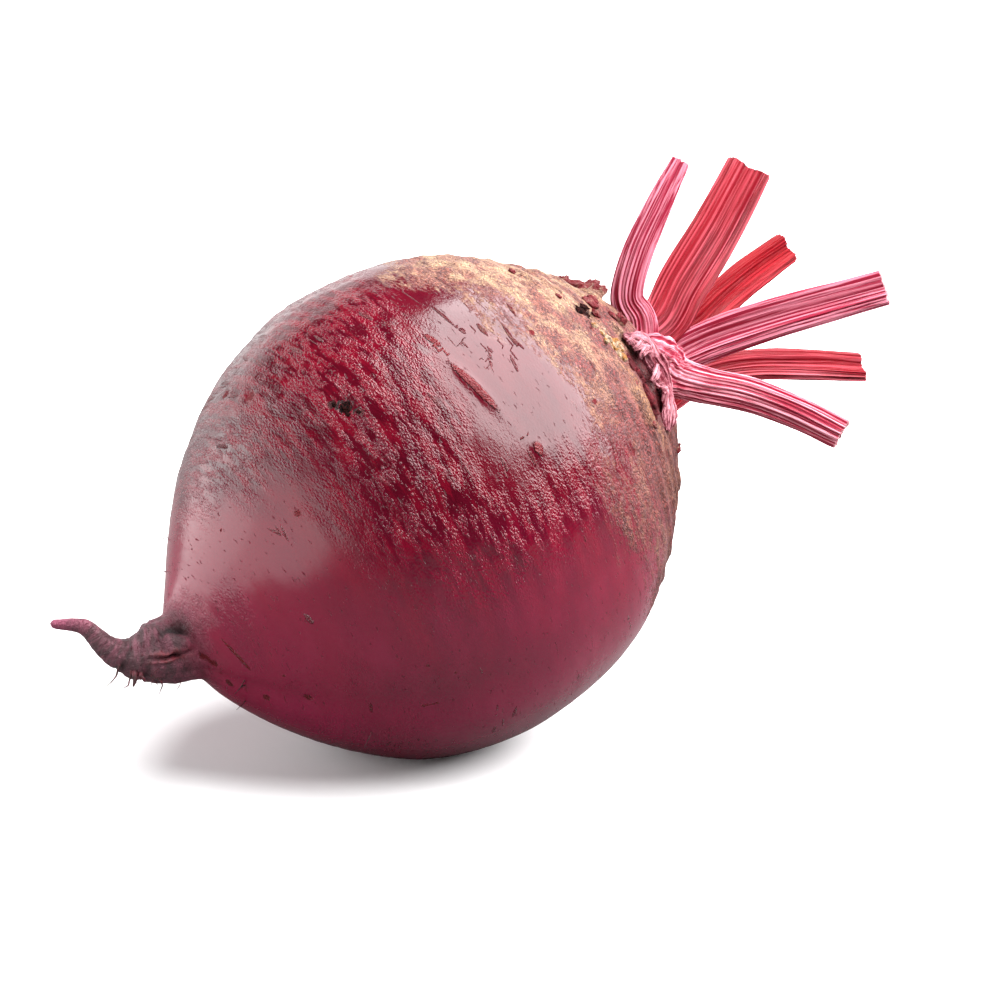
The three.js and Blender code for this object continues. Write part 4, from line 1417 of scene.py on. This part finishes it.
# %% Where the crumbs lie
# x, angle in degrees, half size in millimetres
DRIED_CRUMBS = [(40.3, -21, 1.2), (41.6, -19, 0.9), (38.9, -31, 0.7), (42.6, -31, 0.8), (34.4, -21, 0.5)]
DRIED_CRUMBS += [(31.0, -5, 0.6), (43.2, 12, 1.5), (42.4, 20, 1.4), (43.4, 5, 1.3), (45.2, 14, 1.1)]
DRIED_CRUMBS += [(36.8, -64, 0.5), (35.9, -80, 0.5)]
WAXY_CRUMBS = [(36.2, -38, 0.6), (36.8, -41, 0.8), (37.2, -44, 1.1), (37.9, -46, 1.0), (37.0, -48, 0.7)]
WAXY_CRUMBS += [(37.3, -51, 1.0), (38.4, -49, 0.8), (36.2, -45, 0.5), (38.0, -53, 0.7), (38.9, -46, 0.6)]
WAXY_CRUMBS += [(36.9, -75, 0.4)]
# Crumbs painted near black at the bottom of the deepest hollows: painted shade, where little light comes
BLACK_HOLLOWS = [(37.3, -26.5, 1.5), (36.6, -29.5, 1.2), (37.5, -30, 0.8), (38.4, -25.0, 0.8), (36.6, -33.5, 0.5)]
BLACK_HOLLOWS += [(-10.1, -26.5, 0.9), (-11.2, -24, 0.5), (-9.1, -30, 0.5), (-10.6, -28.6, 0.4)]
# Crumbs of red flesh under the torn sheath
RED_HOLLOWS = [(39.5, -55, 1.0), (39.5, -58.5, 1.4), (39.9, -62, 1.4), (40.2, -65.5, 1.2), (39.2, -70, 1.2)]
RED_HOLLOWS += [(38.7, -73.5, 1.5), (38.0, -77, 1.3), (37.6, -80, 0.8)]
print(len(DRIED_CRUMBS) + len(WAXY_CRUMBS), "crumbs on the skin")

# %% Crumbs
BALL_ROWS, BALL_COLUMNS, BALL_END = 12, 20, 0.2


def crumb_surface(x, angle, size, sunk, seed):
    """Rows of points of one crumb: a ball a quarter longer round the root and flattened to two thirds, made uneven
    by noise, and sunk into the skin by a share of its half size, or raised where that is less than nothing."""
    foot, around, outward, inward = skin_frame(place_at(x), np.radians(angle))
    polar, psi = rows_round(np.linspace(BALL_END, np.pi - BALL_END, BALL_ROWS), BALL_COLUMNS)
    ball = np.stack([np.sin(polar) * np.cos(psi), np.sin(polar) * np.sin(psi), -np.cos(polar)], -1)
    reach_out = size * (1 + 0.42 * layered(1.3 * ball + seed, seed, 2))[..., None]
    shape = 1.25 * ball[..., :1] * around + ball[..., 1:2] * inward + 0.66 * ball[..., 2:] * outward
    rows = foot + reach_out * shape
    rows = rows - sunk * size * outward
    return ended(rows, grain=rows.copy(), tip=0 * psi + 0.9)


dried = [crumb_surface(*row, -0.12, 120 + k) for k, row in enumerate(DRIED_CRUMBS)]
waxy = [crumb_surface(*row, 0.12, 160 + k) for k, row in enumerate(WAXY_CRUMBS)]
black = [crumb_surface(*row, 0.72, 180 + k) for k, row in enumerate(BLACK_HOLLOWS)]
fleshy = [crumb_surface(*row, 0.50, 190 + k) for k, row in enumerate(RED_HOLLOWS)]
print(len(dried), "dried crumbs,", len(waxy), "waxy ones and", len(black) + len(fleshy), "in hollows")

# %% Hair roots
# Place on the list of rings, angle in degrees, thickness at the foot, then the ways from it to the middle and the tip
HAIRS = [
    (7.22, -106, 0.42, (-1.5, -0.3, -1.3), (-3.4, -0.2, -2.0)),
    (7.90, -112, 0.42, (-1.2, -0.5, -1.4), (-2.3, -1.0, -1.2)),
    (8.10, -112, 1.10, (-0.5, -0.5, -0.8), (-1.3, -0.8, -1.5)),
    (8.40, -113, 0.90, (0.1, -0.4, -0.8), (0.6, -0.8, -1.4)),
    (9.20, -118, 0.42, (0.1, -0.4, -1.2), (-1.0, -0.3, -2.6)),
    (8.90, -114, 0.34, (0.2, -0.3, -0.9), (0.3, -0.3, -2.0)),
]
MORE_HAIRS, THIN_HAIR = 22, 0.22
TO_THE_TAIL = np.array([0.7, 0, 0])

hair_rng = np.random.default_rng(5)
for _ in range(MORE_HAIRS):
    place, angle = hair_rng.uniform(5.5, 15), np.degrees(hair_rng.choice(FURROWS)) + hair_rng.normal(0, 12)
    _, around, outward, _ = skin_frame(place, np.radians(angle))
    way = 0.6 * outward + around * hair_rng.normal(0, 0.8) - TO_THE_TAIL
    long = hair_rng.uniform(0.8, 2.2)
    HAIRS.append((place, angle, THIN_HAIR, tuple(0.4 * long * way + 0.2 * outward), tuple(long * way)))
print(len(HAIRS), "hair roots")

# %% Hair root surfaces
HAIR_ROWS, HAIR_COLUMNS = 26, 10
ANY_WAY = np.array([0.31, 0.86, 0.41])  # a way that no hair runs, to measure its sides from


def hair_surface(place, angle, thick, middle, tip, seed):
    """Rows of points of one hair root: a circle that tapers to a quarter, carried along a smooth curve from under
    the skin to the tip, and bent a little by noise."""
    foot, _, outward, _ = skin_frame(place, np.radians(angle))
    path = np.array([foot - 0.6 * outward, foot, foot + middle, foot + tip])
    last = len(path) - 1
    t, psi = rows_round(np.linspace(0, last, HAIR_ROWS), HAIR_COLUMNS)
    forward = heading(path, t, 0.1)
    side = unit(np.cross(forward, ANY_WAY))
    up = np.cross(side, forward)
    uneven_round = noise(np.stack([4 * t, np.cos(psi), np.sin(psi)], -1), seed)
    radius = thick / 2 * (1 - 0.75 * (t / last) ** 2) * (1 + 0.25 * uneven_round)
    centre = along(path, t) + 0.15 * side * noise(np.stack([2 * t, 0 * t, 0 * t], -1), seed + 1)[..., None]
    rows = centre + (radius * np.cos(psi))[..., None] * side - (radius * np.sin(psi))[..., None] * up
    return ended(rows, grain=rows.copy(), tip=t / last)


hairs = [hair_surface(*row, 200 + 2 * k) for k, row in enumerate(HAIRS)]
print("the thickest hair root is", max(row[2] for row in HAIRS), "mm at its foot")

# %% [markdown]
# ## Dry and crumbly finishes
#
# Stubs, crumbs, hollows and hair roots all fade from one colour at the foot to another at the tip, with clouds
# in the change and fine cracks over it. They are dry, so they shine less than the skin. One function makes the
# finish of each from its two colours and a few shares.

# %% Crumbly finishes
STUB_CORK = (0.30, 0.150, 0.105)
STUB_TIP = (0.160, 0.0060, 0.012)
WAX_PALE = (0.44, 0.31, 0.20)
WAX_OCHRE = (0.33, 0.135, 0.022)
HAIR_FOOT = (0.120, 0.014, 0.026)
HAIR_TIP = (0.045, 0.012, 0.014)
# Painted shade for the black crumbs in the hollows
BLACK_SHADE, BLACKEST = (0.030, 0.010, 0.008), (0.005, 0.002, 0.002)
RED_FLESH, REDDEST = (0.240, 0.008, 0.020), (0.070, 0.0030, 0.0070)


def crumbly(name, pale, dark, paleness, roughness, relief_height, gleam):
    """A dry, crumbly finish that goes from a pale colour to a dark one along a piece, with cracks. The paleness
    moves the change towards the tip, and the gleam is how much of its gloss is left."""
    material, tree, shader = new_material(name)
    shader["Specular IOR Level"].default_value = gleam
    place = mark_of(tree, "grain", "Vector")
    clouds = use(tree, mottle, Grain=place, Stretch=(0.8, 0.8, 0.8), Low=0.38, High=0.62)
    cracks = use(tree, crackle, Grain=place, Stretch=(1.6, 1.6, 1.6), Width=0.15)
    share = times(tree, minus(tree, clouds, paleness), 0.8)
    share = plus(tree, mark_of(tree, "tip"), share)
    colour = tinted(tree, between(tree, share, 0.2, 0.8), pale, dark)
    feed(tree, shader["Base Color"], tinted(tree, times(tree, cracks, 0.5), colour, CORK_LINE))
    feed(tree, shader["Roughness"], plus(tree, times(tree, clouds, 0.2), roughness))
    rough = use(tree, mottle, Grain=place, Stretch=(1.8, 1.8, 1.8), Low=0.2, High=0.8)
    bumped(tree, times(tree, rough, relief_height), shader["Normal"])
    return material


# Each piece and its parts, then its finish: name, colours, paleness, roughness, relief in millimetres and gleam
for name, parts, *finish in (
    ("old_leaf_stubs", stubs + dried, "dried_stub", STUB_CORK, STUB_TIP, 0.4, 0.42, 0.35, 0.25),
    ("waxy_crumbs", waxy, "wax", WAX_PALE, WAX_OCHRE, 0.9, 0.40, 0.45, 0.30),
    # The black crumbs in the hollows are painted shade.
    ("black_hollows", black, "black_flesh", BLACK_SHADE, BLACKEST, 0.5, 0.75, 0.40, 0.05),
    ("red_hollows", fleshy, "red_flesh", RED_FLESH, REDDEST, 0.5, 0.60, 0.40, 0.15),
    ("hair_roots", hairs, "hair_root", HAIR_FOOT, HAIR_TIP, 0.5, 0.45, 0.05, 0.50),
):
    piece_of(name, parts, crumbly(*finish))
